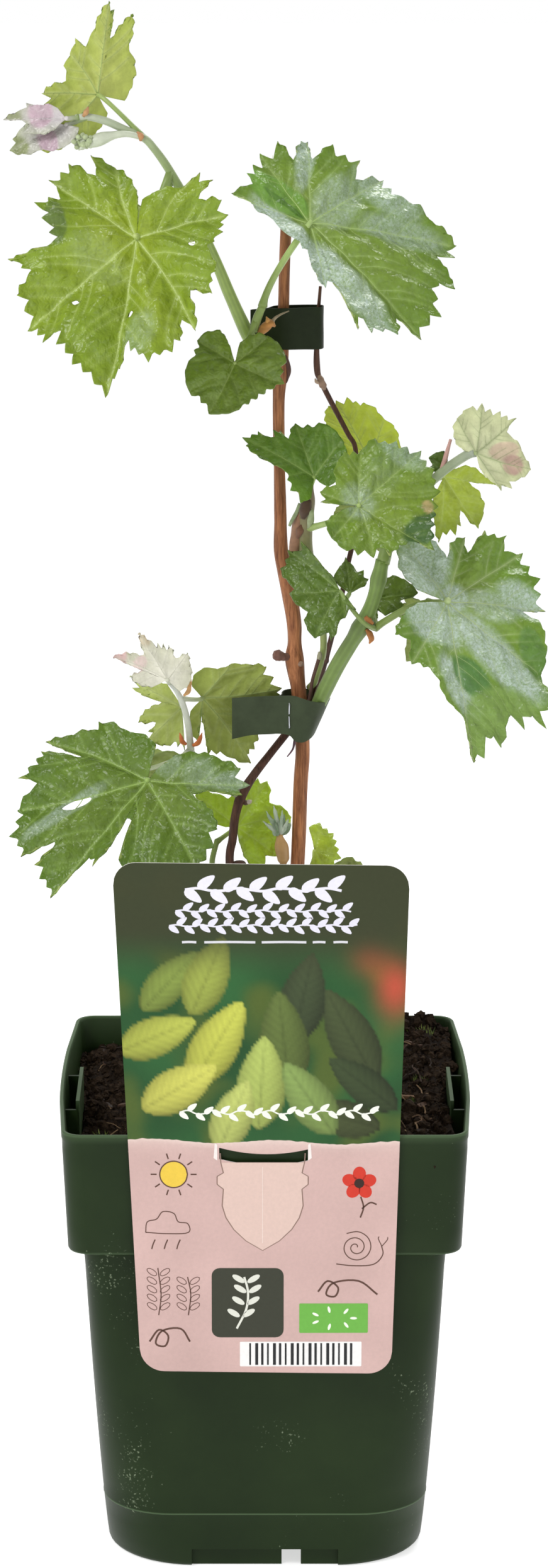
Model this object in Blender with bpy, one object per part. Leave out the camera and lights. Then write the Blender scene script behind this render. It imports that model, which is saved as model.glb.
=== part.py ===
"""A young grapevine in a square nursery pot.

Standalone Blender 4.5 script: metres, +Z up, the origin in the middle of the pot's flat underside.
The vine grows on two woody canes from one short trunk. Green shoots leave the canes, and each leafy
shoot is one fused solid: a stem, its leaf stalks and its leaf blades.
"""

import math
import random

import bmesh
import bpy
from mathutils import Vector

MM = 0.001
CLEAR = 0.35 * MM            # gap left between two pieces that touch

# Pot: a square container with a tall collar round its top
RIM_HALF = 65 * MM           # half the width over the rim
RIM_BOW = 2.4 * MM           # how far the side rims swell outwards in their middle
POT_HEIGHT = 153 * MM
COLLAR_FOOT = 112 * MM       # height of the collar's lower edge
COLLAR_FOOT_HALF = 63.2 * MM
BODY_TOP_HALF = 58.4 * MM    # body just under the collar
BODY_FOOT_HALF = 51.8 * MM   # body at the underside
PARTING = 19 * MM            # height of the mould's parting line
WALL = 1.2 * MM
FLOOR_TOP = 9 * MM
NOTCH_WIDTH = 48 * MM        # drain notch in the middle of each lower edge
NOTCH_HEIGHT = 6.2 * MM
FOOT_BLOCK = 11 * MM
POCKET_Y = (-28 * MM, 8 * MM)     # slot behind each side rim, front and rear end
POCKET_GAP = 1.9 * MM
POCKET_DEPTH = 36 * MM

# Compost
SOIL_LEVEL = 143 * MM        # flat spot round the trunk
SOIL_HALF_X = 59.8 * MM
SOIL_HALF_Y = 62.3 * MM
SOIL_TOP_MOST = 154 * MM

# Card label: a stiff tapered card that hangs on the front rim
CARD_TOP = 242.5 * MM
CARD_FOOT = 73.5 * MM
CARD_TOP_HALF = 46.6 * MM
CARD_FOOT_HALF = 40.2 * MM
CARD_CORNER = 7.5 * MM
CARD_SHIFT = (0.4 * MM, -1.2 * MM)    # how far its foot and its top stand to the right
CARD_SLOPE = 0.012           # how much its edges drop towards the right
CARD_THICK = 0.8 * MM
CARD_WINDOW_HALF = 14.2 * MM      # slot that shows the rim
CARD_WINDOW = (145.4 * MM, 149.2 * MM)
HOOK_HALF = 12.5 * MM             # strap at the back that goes over the rim
HOOK_DROP = 11 * MM

TRUNK_FOOT = (8.5, 0, 143.6)      # mm
TRUNK_TOP = (4.5, 0.5, 173)
LEAF_THICK = 0.85 * MM


# ---------------------------------------------------------------- scene and finishes

def clear_scene():
    for obj in list(bpy.data.objects):
        bpy.data.objects.remove(obj, do_unlink=True)


def finish(name, colour, roughness, metallic=0.0):
    """A Principled material of one colour."""
    material = bpy.data.materials.new(name)
    material.use_nodes = True
    shader = material.node_tree.nodes["Principled BSDF"]
    shader.inputs["Base Color"].default_value = (*colour, 1)
    shader.inputs["Roughness"].default_value = roughness
    shader.inputs["Metallic"].default_value = metallic
    return material


def solid(name, verts, faces, material):
    """One closed object from points and faces, its faces turned outwards."""
    mesh = bpy.data.meshes.new(name)
    mesh.from_pydata([tuple(v) for v in verts], [], faces)
    shaped = bmesh.new()
    shaped.from_mesh(mesh)
    bmesh.ops.remove_doubles(shaped, verts=shaped.verts, dist=1e-6)
    bmesh.ops.recalc_face_normals(shaped, faces=shaped.faces)
    shaped.to_mesh(mesh)
    shaped.free()
    mesh.materials.append(material)
    obj = bpy.data.objects.new(name, mesh)
    bpy.context.scene.collection.objects.link(obj)
    return obj


def combine(obj, other, operation, solver="EXACT"):
    """Applies one Boolean with another object, which is then removed."""
    modifier = obj.modifiers.new(operation.title(), "BOOLEAN")
    modifier.operation = operation
    modifier.solver = solver
    modifier.object = other
    bake(obj)
    bpy.data.objects.remove(other, do_unlink=True)


def bake(obj):
    """Puts the result of the modifiers into the object's own mesh."""
    graph = bpy.context.evaluated_depsgraph_get()
    mesh = bpy.data.meshes.new_from_object(obj.evaluated_get(graph))
    obj.modifiers.clear()
    obj.data = mesh


def box(name, low, high, material):
    (x0, y0, z0), (x1, y1, z1) = low, high
    corners = [(x, y, z) for z in (z0, z1) for x, y in ((x0, y0), (x1, y0), (x1, y1), (x0, y1))]
    faces = [(0, 1, 2, 3), (4, 5, 6, 7), (0, 1, 5, 4), (1, 2, 6, 5), (2, 3, 7, 6), (3, 0, 4, 7)]
    return solid(name, corners, faces, material)


# ---------------------------------------------------------------- pot, compost, label

def rounded_ring(half_x, half_y, radius, z, bow=0, corner_steps=6):
    """Points round a square with rounded corners, with three more along each side.

    bow is how far the middles of the left and right sides swell outwards.
    """
    points = []
    for quarter, (sx, sy) in enumerate(((1, 1), (-1, 1), (-1, -1), (1, -1))):
        for step in range(corner_steps + 1):
            angle = math.pi / 2 * (quarter + step / corner_steps)
            points.append(
                (
                    sx * (half_x - radius) + radius * math.cos(angle),
                    sy * (half_y - radius) + radius * math.sin(angle),
                    z,
                )
            )
        for part in (0.4, 0, -0.4):
            swell = half_x + bow * (1 - part * part)
            sides = ((part * half_x, half_y), (-swell, part * half_y))
            sides += ((-part * half_x, -half_y), (swell, -part * half_y))
            points.append((*sides[quarter], z))
    return points


def loft(rings):
    """Faces between rings of the same count, closed at the first and the last."""
    count = len(rings[0])
    verts = [point for ring in rings for point in ring]
    faces = [tuple(range(count))]
    for level in range(len(rings) - 1):
        for i in range(count):
            j = (i + 1) % count
            faces.append(
                (level * count + i, level * count + j, (level + 1) * count + j, (level + 1) * count + i)
            )
    last = (len(rings) - 1) * count
    faces.append(tuple(range(last + count - 1, last - 1, -1)))
    return verts, faces


def make_pot(plastic):
    def body_half(z):
        return BODY_FOOT_HALF + (BODY_TOP_HALF - BODY_FOOT_HALF) * (z / COLLAR_FOOT) ** 0.8

    def up_collar(z):
        return max(0, (z - COLLAR_FOOT) / (POT_HEIGHT - COLLAR_FOOT))

    def collar_half(z):
        return COLLAR_FOOT_HALF + (RIM_HALF - COLLAR_FOOT_HALF) * up_collar(z)

    def body_radius(z):
        return 8 * MM + 20 * MM * (1 - z / COLLAR_FOOT) ** 1.6

    outer = [(z, body_half(z), body_radius(z)) for z in (0, 7 * MM, PARTING, 45 * MM, 78 * MM)]
    outer[0] = (0, BODY_FOOT_HALF - 0.8 * MM, body_radius(0))
    outer += [(COLLAR_FOOT - 3 * MM, BODY_TOP_HALF, 8 * MM)]
    outer += [(COLLAR_FOOT, COLLAR_FOOT_HALF - 1.2 * MM, 7 * MM)]
    outer += [(COLLAR_FOOT + 1.6 * MM, COLLAR_FOOT_HALF, 7 * MM)]
    outer += [(POT_HEIGHT - 5 * MM, collar_half(POT_HEIGHT - 5 * MM), 6.5 * MM)]
    outer += [(POT_HEIGHT - 1.4 * MM, RIM_HALF, 6.5 * MM), (POT_HEIGHT, RIM_HALF - 0.4 * MM, 6 * MM)]
    inner = [(POT_HEIGHT, RIM_HALF - 0.4 * MM - WALL, 5.5 * MM)]
    inner += [(COLLAR_FOOT + 2 * MM, COLLAR_FOOT_HALF - WALL, 6 * MM)]
    inner += [(COLLAR_FOOT - 3 * MM, BODY_TOP_HALF - WALL, 7 * MM)]
    inner += [(45 * MM, body_half(45 * MM) - WALL, body_radius(45 * MM) - WALL)]
    inner += [(FLOOR_TOP, body_half(FLOOR_TOP) - WALL, body_radius(FLOOR_TOP) - WALL)]
    rings = [rounded_ring(half, half, radius, z, RIM_BOW * up_collar(z)) for z, half, radius in outer + inner]
    pot = solid("pot", *loft(rings), plastic)

    # hollow under the floor, which leaves a foot ring, then the drain notches through that ring
    hollow_half = BODY_FOOT_HALF - 5.5 * MM
    hollow = [rounded_ring(hollow_half, hollow_half, 20 * MM, z) for z in (-2 * MM, FLOOR_TOP - 2.2 * MM)]
    combine(pot, solid("hollow", *loft(hollow), plastic), "DIFFERENCE")
    reach = RIM_HALF
    for along_x in (True, False):
        for end in (-1, 1):
            wide, deep = sorted((end * reach, end * (hollow_half - 4 * MM)))
            low, high = (-NOTCH_WIDTH / 2, wide, -MM), (NOTCH_WIDTH / 2, deep, NOTCH_HEIGHT)
            if not along_x:
                low, high = (low[1], low[0], low[2]), (high[1], high[0], high[2])
            combine(pot, box("notch", low, high, plastic), "DIFFERENCE")

    # blocks that stand in each notch behind the wall, and the middle pad
    top = FLOOR_TOP - 1.5 * MM
    for turn in range(4):
        for across in (-15 * MM, 0, 15 * MM):
            near = hollow_half - 3.5 * MM
            low, high = (across - FOOT_BLOCK / 2, -near, 0), (across + FOOT_BLOCK / 2, -near + 3 * MM, top)
            if across:
                combine(pot, turned_box(low, high, turn, plastic), "UNION")
    pad = 9 * MM
    combine(pot, box("pad", (-pad, -pad, 0), (pad, pad, top), plastic), "UNION")

    # pockets behind the side rims
    for side in (-1, 1):
        inside = RIM_HALF - 0.4 * MM - WALL
        plate_x = sorted((side * (inside - POCKET_GAP - WALL), side * (inside - POCKET_GAP)))
        end_x = sorted((side * (inside - POCKET_GAP - WALL / 2), side * (inside + WALL / 2)))
        low_z, high_z = POT_HEIGHT - POCKET_DEPTH, POT_HEIGHT - 0.5 * MM
        plate = box("plate", (plate_x[0], POCKET_Y[0], low_z), (plate_x[1], POCKET_Y[1], high_z), plastic)
        for y in POCKET_Y:
            ends = box("end", (end_x[0], y - WALL / 2, low_z), (end_x[1], y + WALL / 2, high_z), plastic)
            for vertex in ends.data.vertices:
                if abs(vertex.co.x) > inside:
                    bow = RIM_BOW * up_collar(vertex.co.z) * (1 - (y / RIM_HALF) ** 2)
                    vertex.co.x = side * (collar_half(vertex.co.z) + bow - WALL * 0.6)
            combine(plate, ends, "UNION")
        combine(pot, plate, "UNION")
    return pot


def turned_box(low, high, quarter_turns, material):
    """A box turned about the pot's upright middle line."""
    obj = box("block", low, high, material)
    for vertex in obj.data.vertices:
        for _ in range(quarter_turns):
            x, y, z = vertex.co
            vertex.co = (-y, x, z)
    return obj


def soil_height(x, y):
    """Height of the compost: low at the front left, heaped towards the rear right."""
    slope = SOIL_LEVEL + 0.075 * x + 0.055 * y
    heap = 4 * MM * math.exp(-((x - 0.045) ** 2 + (y - 0.05) ** 2) / 0.0004)
    lumps = 1.1 * MM * (math.sin(x * 190 + 1) * math.cos(y * 230) + math.sin(x * 90 - y * 120))
    near = min(1, math.hypot(x - TRUNK_FOOT[0] * MM, y) / (24 * MM))
    ease = near * near * (3 - 2 * near)
    return min(SOIL_TOP_MOST, SOIL_LEVEL + ease * (slope + heap + lumps - SOIL_LEVEL))


def make_soil(compost):
    """Fills the pot: lofted walls below, and a grid of squared-off rings for the lumpy top."""
    under = FLOOR_TOP + CLEAR
    level = [(under, 50 * MM, 22 * MM), (45 * MM, 52.6 * MM, 18 * MM)]
    level += [(COLLAR_FOOT - 3 * MM, 55.6 * MM, 9 * MM)]
    rings = [rounded_ring(half, half, radius, z) for z, half, radius in level]
    for half_scale in (1, 0.82, 0.6, 0.38, 0.18):
        ring = rounded_ring(SOIL_HALF_X * half_scale, SOIL_HALF_Y * half_scale, 9 * MM * half_scale, 0)
        centre = TRUNK_FOOT[0] * MM * (1 - half_scale)
        rings.append([(x + centre, y, soil_height(x + centre, y)) for x, y, _ in ring])
    rings.insert(3, [(x, y, 118 * MM) for x, y, _ in rounded_ring(SOIL_HALF_X, 61.4 * MM, 9 * MM, 0)])
    return solid("soil", *loft(rings), compost)


def card_outline():
    """Outline of the card in its own plane: across and up, with rounded corners."""
    corners = ((1, CARD_FOOT, CARD_FOOT_HALF), (1, CARD_TOP, CARD_TOP_HALF))
    corners += ((-1, CARD_TOP, CARD_TOP_HALF), (-1, CARD_FOOT, CARD_FOOT_HALF))
    points = []
    for quarter, (side, z, half) in enumerate(corners):
        up = 1 if z == CARD_TOP else -1
        middle = (side * (half - CARD_CORNER), z - up * CARD_CORNER)
        for step in range(6):
            angle = math.pi / 2 * (quarter - 1 + step / 5)
            height = middle[1] + CARD_CORNER * math.sin(angle) - CARD_SLOPE * middle[0]
            up_part = (height - CARD_FOOT) / (CARD_TOP - CARD_FOOT)
            shift = CARD_SHIFT[0] + (CARD_SHIFT[1] - CARD_SHIFT[0]) * up_part
            points.append((middle[0] + CARD_CORNER * math.cos(angle) + shift, height))
    return points


def make_card(board):
    """The card in front of the rim, with its window, and the strap behind it that hooks over the rim."""
    front = -RIM_HALF - CLEAR - CARD_THICK - 0.3 * MM
    back = front + CARD_THICK
    outline = card_outline()
    count = len(outline)
    verts = [(x, y, z) for y in (front, back) for x, z in outline]
    faces = [tuple(range(count)), tuple(range(2 * count - 1, count - 1, -1))]
    faces += [(i, (i + 1) % count, count + (i + 1) % count, count + i) for i in range(count)]
    card = solid("label_card", verts, faces, board)
    low = (-CARD_WINDOW_HALF, front - MM, CARD_WINDOW[0])
    high = (CARD_WINDOW_HALF, back + 0.2 * MM, CARD_WINDOW[1])
    combine(card, box("window", low, high, board), "DIFFERENCE")

    over = POT_HEIGHT + CLEAR
    inside = -(COLLAR_FOOT_HALF - WALL) + CLEAR
    profile = [(front + CARD_THICK / 2, over), (inside, over), (inside, over - HOOK_DROP)]
    profile += [(inside + CARD_THICK, over - HOOK_DROP), (inside + CARD_THICK, over + CARD_THICK)]
    profile += [(front + CARD_THICK / 2, over + CARD_THICK)]
    count = len(profile)
    verts = [(x, y, z) for x in (-HOOK_HALF, HOOK_HALF) for y, z in profile]
    faces = [tuple(range(count)), tuple(range(2 * count - 1, count - 1, -1))]
    faces += [(i, (i + 1) % count, count + (i + 1) % count, count + i) for i in range(count)]
    combine(card, solid("strap", verts, faces, board), "UNION")
    return card


# ---------------------------------------------------------------- canes, shoots and ties

def smooth_path(points, per_span):
    """A Catmull-Rom curve through the points (mm), in metres."""
    knots = [Vector(p) * MM for p in points]
    knots = [2 * knots[0] - knots[1], *knots, 2 * knots[-1] - knots[-2]]
    path = []
    for i in range(1, len(knots) - 2):
        a, b, c, d = knots[i - 1 : i + 3]
        for step in range(per_span):
            t = step / per_span
            square = (2 * a - 5 * b + 4 * c - d) * t**2
            cube = (3 * b - a - 3 * c + d) * t**3
            path.append(0.5 * (2 * b + (c - a) * t + square + cube))
    path.append(knots[-2])
    return path


def tube(path, radii, sides):
    """A tapering tube along a path, closed by flat ends: points and faces."""
    rings = []
    across = Vector((1, 0, 0))
    for i, point in enumerate(path):
        ahead = (path[min(i + 1, len(path) - 1)] - path[max(i - 1, 0)]).normalized()
        across = (across - ahead * across.dot(ahead)).normalized()
        other = ahead.cross(across)
        turn = [2 * math.pi * k / sides for k in range(sides)]
        rings.append([point + radii[i] * (math.cos(a) * across + math.sin(a) * other) for a in turn])
    return loft(rings)


def limb(points, radius_points, per_span=3, sides=8):
    """A tube whose radius (mm) runs smoothly through one value for each point of its route."""
    path = smooth_path(points, per_span)
    radii = []
    for i in range(len(path)):
        at = i / per_span
        low = min(int(at), len(radius_points) - 2)
        t = at - low
        ease = t * t * (3 - 2 * t)
        radii.append(MM * (radius_points[low] * (1 - ease) + radius_points[low + 1] * ease))
    return tube(path, radii, sides)


def band(centre_line, low_z, high_z, thickness):
    """An upright closed strip of tape round a plan outline (mm): points and faces."""
    count = len(centre_line)
    inner, outer = [], []
    for i, (x, y) in enumerate(centre_line):
        ahead = Vector(centre_line[(i + 1) % count]) - Vector(centre_line[i - 1])
        side = Vector((ahead.y, -ahead.x)).normalized() * thickness / 2
        inner.append((x - side.x, y - side.y))
        outer.append((x + side.x, y + side.y))
    verts = []
    for ring, z in ((inner, low_z), (outer, low_z), (outer, high_z), (inner, high_z)):
        verts += [(x * MM, y * MM, z * MM) for x, y in ring]
    faces = []
    for level in range(4):
        for i in range(count):
            j = (i + 1) % count
            nxt = (level + 1) % 4
            faces.append((level * count + i, level * count + j, nxt * count + j, nxt * count + i))
    return verts, faces


def oval(low_x, high_x, low_y, high_y, steps=14):
    """Plan outline of a loop of tape: a rounded oval, in mm."""
    middle_x, middle_y = (low_x + high_x) / 2, (low_y + high_y) / 2
    points = []
    for step in range(steps):
        angle = 2 * math.pi * step / steps
        c, s = math.cos(angle), math.sin(angle)
        points.append(
            (
                middle_x + (high_x - low_x) / 2 * math.copysign(abs(c) ** 0.6, c),
                middle_y + (high_y - low_y) / 2 * math.copysign(abs(s) ** 0.6, s),
            )
        )
    return points


# ---------------------------------------------------------------- leaves

def leaf(on, at, rib, face, lobes, fold=0.1, cup=0.15, stalk=0.8, thick=LEAF_THICK, via=None):
    """One leaf, in mm and degrees.

    on is how far along the mass's stem its stalk starts, from 0 to 1. at is where the stalk meets the
    blade, rib the way the middle rib points and face the way the upper side faces. lobes are the tips
    round the edge: each has its angle from the middle rib and its distance from the stalk. via is a
    place that a long stalk bends towards.
    """
    return {
        "on": on, "at": Vector(at) * MM, "rib": Vector(rib), "face": Vector(face).normalized(),
        "lobes": lobes, "fold": fold, "cup": cup, "stalk": stalk * MM, "thick": thick, "via": via,
    }


def plain_lobes(length):
    """Tips of an ordinary five-lobed blade of this length."""
    shape = ((-166, 0.32), (-108, 0.66), (-54, 0.88), (0, 1), (54, 0.88), (108, 0.66), (166, 0.32))
    return tuple((angle, length * part) for angle, part in shape)


def edge_spans(lobes, tooth):
    """The edge between each tip and the next: points (across, along) from the stalk, in metres.

    Between two tips the edge sinks a little, more where they are far apart, and is cut into teeth.
    """
    spans = []
    for (angle_a, reach_a), (angle_b, reach_b) in zip(lobes, lobes[1:]):
        gap = abs(angle_b - angle_a)
        length = math.hypot(reach_b - reach_a, math.radians(gap) * (reach_a + reach_b) / 2) * MM
        teeth = max(1, round(length / tooth))
        hollow = min(0.2, 0.0022 * gap)
        count = 2 * teeth if length > 0.55 * tooth else 1
        span = []
        for step in range(count + 1):
            t = step / count
            reach = (reach_a + (reach_b - reach_a) * t) * (1 - hollow * math.sin(math.pi * t))
            reach *= 0.94 if step % 2 and count > 1 else 1
            angle = math.radians(angle_a + (angle_b - angle_a) * t)
            span.append(Vector((math.sin(angle), math.cos(angle))) * reach * MM)
        spans.append(span)
    return spans


def bent(spec, across, along):
    """The place of a point of the flat blade once the blade is folded at its middle rib and cupped."""
    size = max(reach for _, reach in spec["lobes"]) * MM
    lift = spec["fold"] * abs(across) - spec["cup"] * (across**2 + along**2) / size
    rib = (spec["rib"] - spec["face"] * spec["rib"].dot(spec["face"])).normalized()
    side = spec["face"].cross(rib)
    return spec["at"] + side * across + rib * along + spec["face"] * lift


def blade(spec, tooth=8 * MM):
    """A closed toothed blade: the stalk's end, a ring of points half way out, and the toothed edge."""
    spans = edge_spans(spec["lobes"], tooth)
    half_way = [span[0] * 0.5 for span in spans] + [spans[-1][-1] * 0.5]
    edge = [point for span in spans for point in span[:-1]] + [spans[-1][-1]]
    flat = [Vector((0, 0)), *half_way, *edge]
    faces = []
    start = 1 + len(half_way)
    for i, span in enumerate(spans):
        steps = len(span) - 1
        middle = (steps + 1) // 2
        near = [1 + i] * middle + [2 + i] * (steps - middle)
        faces += [(near[k], start + k, start + k + 1) for k in range(steps)]
        faces += [(1 + i, start + middle, 2 + i), (0, 1 + i, 2 + i)]
        start += steps
    sheet = bmesh.new()
    points = [sheet.verts.new(bent(spec, p.x, p.y)) for p in flat]
    for face in faces:
        sheet.faces.new([points[i] for i in face])
    sheet.normal_update()
    upper = [v.co + v.normal * spec["thick"] / 2 for v in points]
    lower = [v.co - v.normal * spec["thick"] / 2 for v in points]
    sheet.free()
    count = len(points)
    rim = [0, 1, *range(1 + len(half_way), count), len(half_way)]
    faces += [tuple(count + i for i in reversed(face)) for face in faces]
    faces += [(a, b, count + b, count + a) for a, b in zip(rim, rim[1:] + rim[:1])]
    return upper + lower, faces


def stalk_tube(spec, stem_path):
    """A leaf stalk from the middle of the stem to just through the blade."""
    place = spec["on"] * (len(stem_path) - 1)
    low = min(int(place), len(stem_path) - 2)
    start = stem_path[low].lerp(stem_path[low + 1], place - low)
    end = spec["at"] + spec["face"] * 0.5 * MM
    reach = (end - start).length
    bend = Vector(spec["via"]) * MM if spec["via"] else end - spec["face"] * 0.3 * reach
    path = [start * (1 - t) ** 2 + bend * 2 * t * (1 - t) + end * t * t for t in (0, 0.25, 0.5, 0.75, 1)]
    radii = [spec["stalk"] * k for k in (1.15, 1, 0.95, 1, 1.15)]
    return tube(path, radii, 5)


def fuse(name, shapes, material):
    """Joins closed shapes that run into each other into one solid."""
    base = solid(name, *shapes[0], material)
    rest = bpy.data.collections.new(name + "_pieces")
    bpy.context.scene.collection.children.link(rest)
    for shape in shapes[1:]:
        piece = solid(name + "_piece", *shape, material)
        bpy.context.scene.collection.objects.unlink(piece)
        rest.objects.link(piece)
    modifier = base.modifiers.new("Union", "BOOLEAN")
    modifier.operand_type = "COLLECTION"
    modifier.collection = rest
    modifier.operation = "UNION"
    modifier.solver = "MANIFOLD"
    bake(base)
    for piece in list(rest.objects):
        bpy.data.objects.remove(piece, do_unlink=True)
    bpy.data.collections.remove(rest)
    keep_main_body(base)
    return base


def keep_main_body(obj):
    """Fills any hollow that fusing sealed, and drops loose scraps: only the largest closed shell stays."""
    shaped = bmesh.new()
    shaped.from_mesh(obj.data)
    unseen = set(shaped.faces)
    shells = []
    while unseen:
        waiting = [unseen.pop()]
        shell = []
        while waiting:
            face = waiting.pop()
            shell.append(face)
            near = {other for edge in face.edges for other in edge.link_faces} & unseen
            unseen -= near
            waiting.extend(near)
        volume = sum(
            a.co.dot(b.co.cross(c.co))
            for face in shell
            for a, b, c in ((face.verts[0], *face.verts[i : i + 2]) for i in range(1, len(face.verts) - 1))
        )
        shells.append((volume, shell))
    largest = max(shells, key=lambda entry: entry[0])[1]
    extra = [face for _, shell in shells if shell is not largest for face in shell]
    bmesh.ops.delete(shaped, geom=extra, context="FACES")
    bmesh.ops.delete(shaped, geom=[v for v in shaped.verts if not v.link_faces], context="VERTS")
    shaped.to_mesh(obj.data)
    shaped.free()


def make_foliage(name, mass, material):
    """A leafy shoot: its stem, side tendrils and buds, and each leaf with its stalk."""
    path = smooth_path(mass["stem"], 3)
    shapes = [limb(mass["stem"], mass["radii"], 3, 7)]
    shapes += [limb(points, radii, 2, 5) for points, radii in mass.get("sprigs", ())]
    for spec in mass["leaves"]:
        shapes += [stalk_tube(spec, path), blade(spec)]
    return fuse(name, shapes, material)


BACK_FACE = (0.1, 0.8, 0.55)

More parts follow.
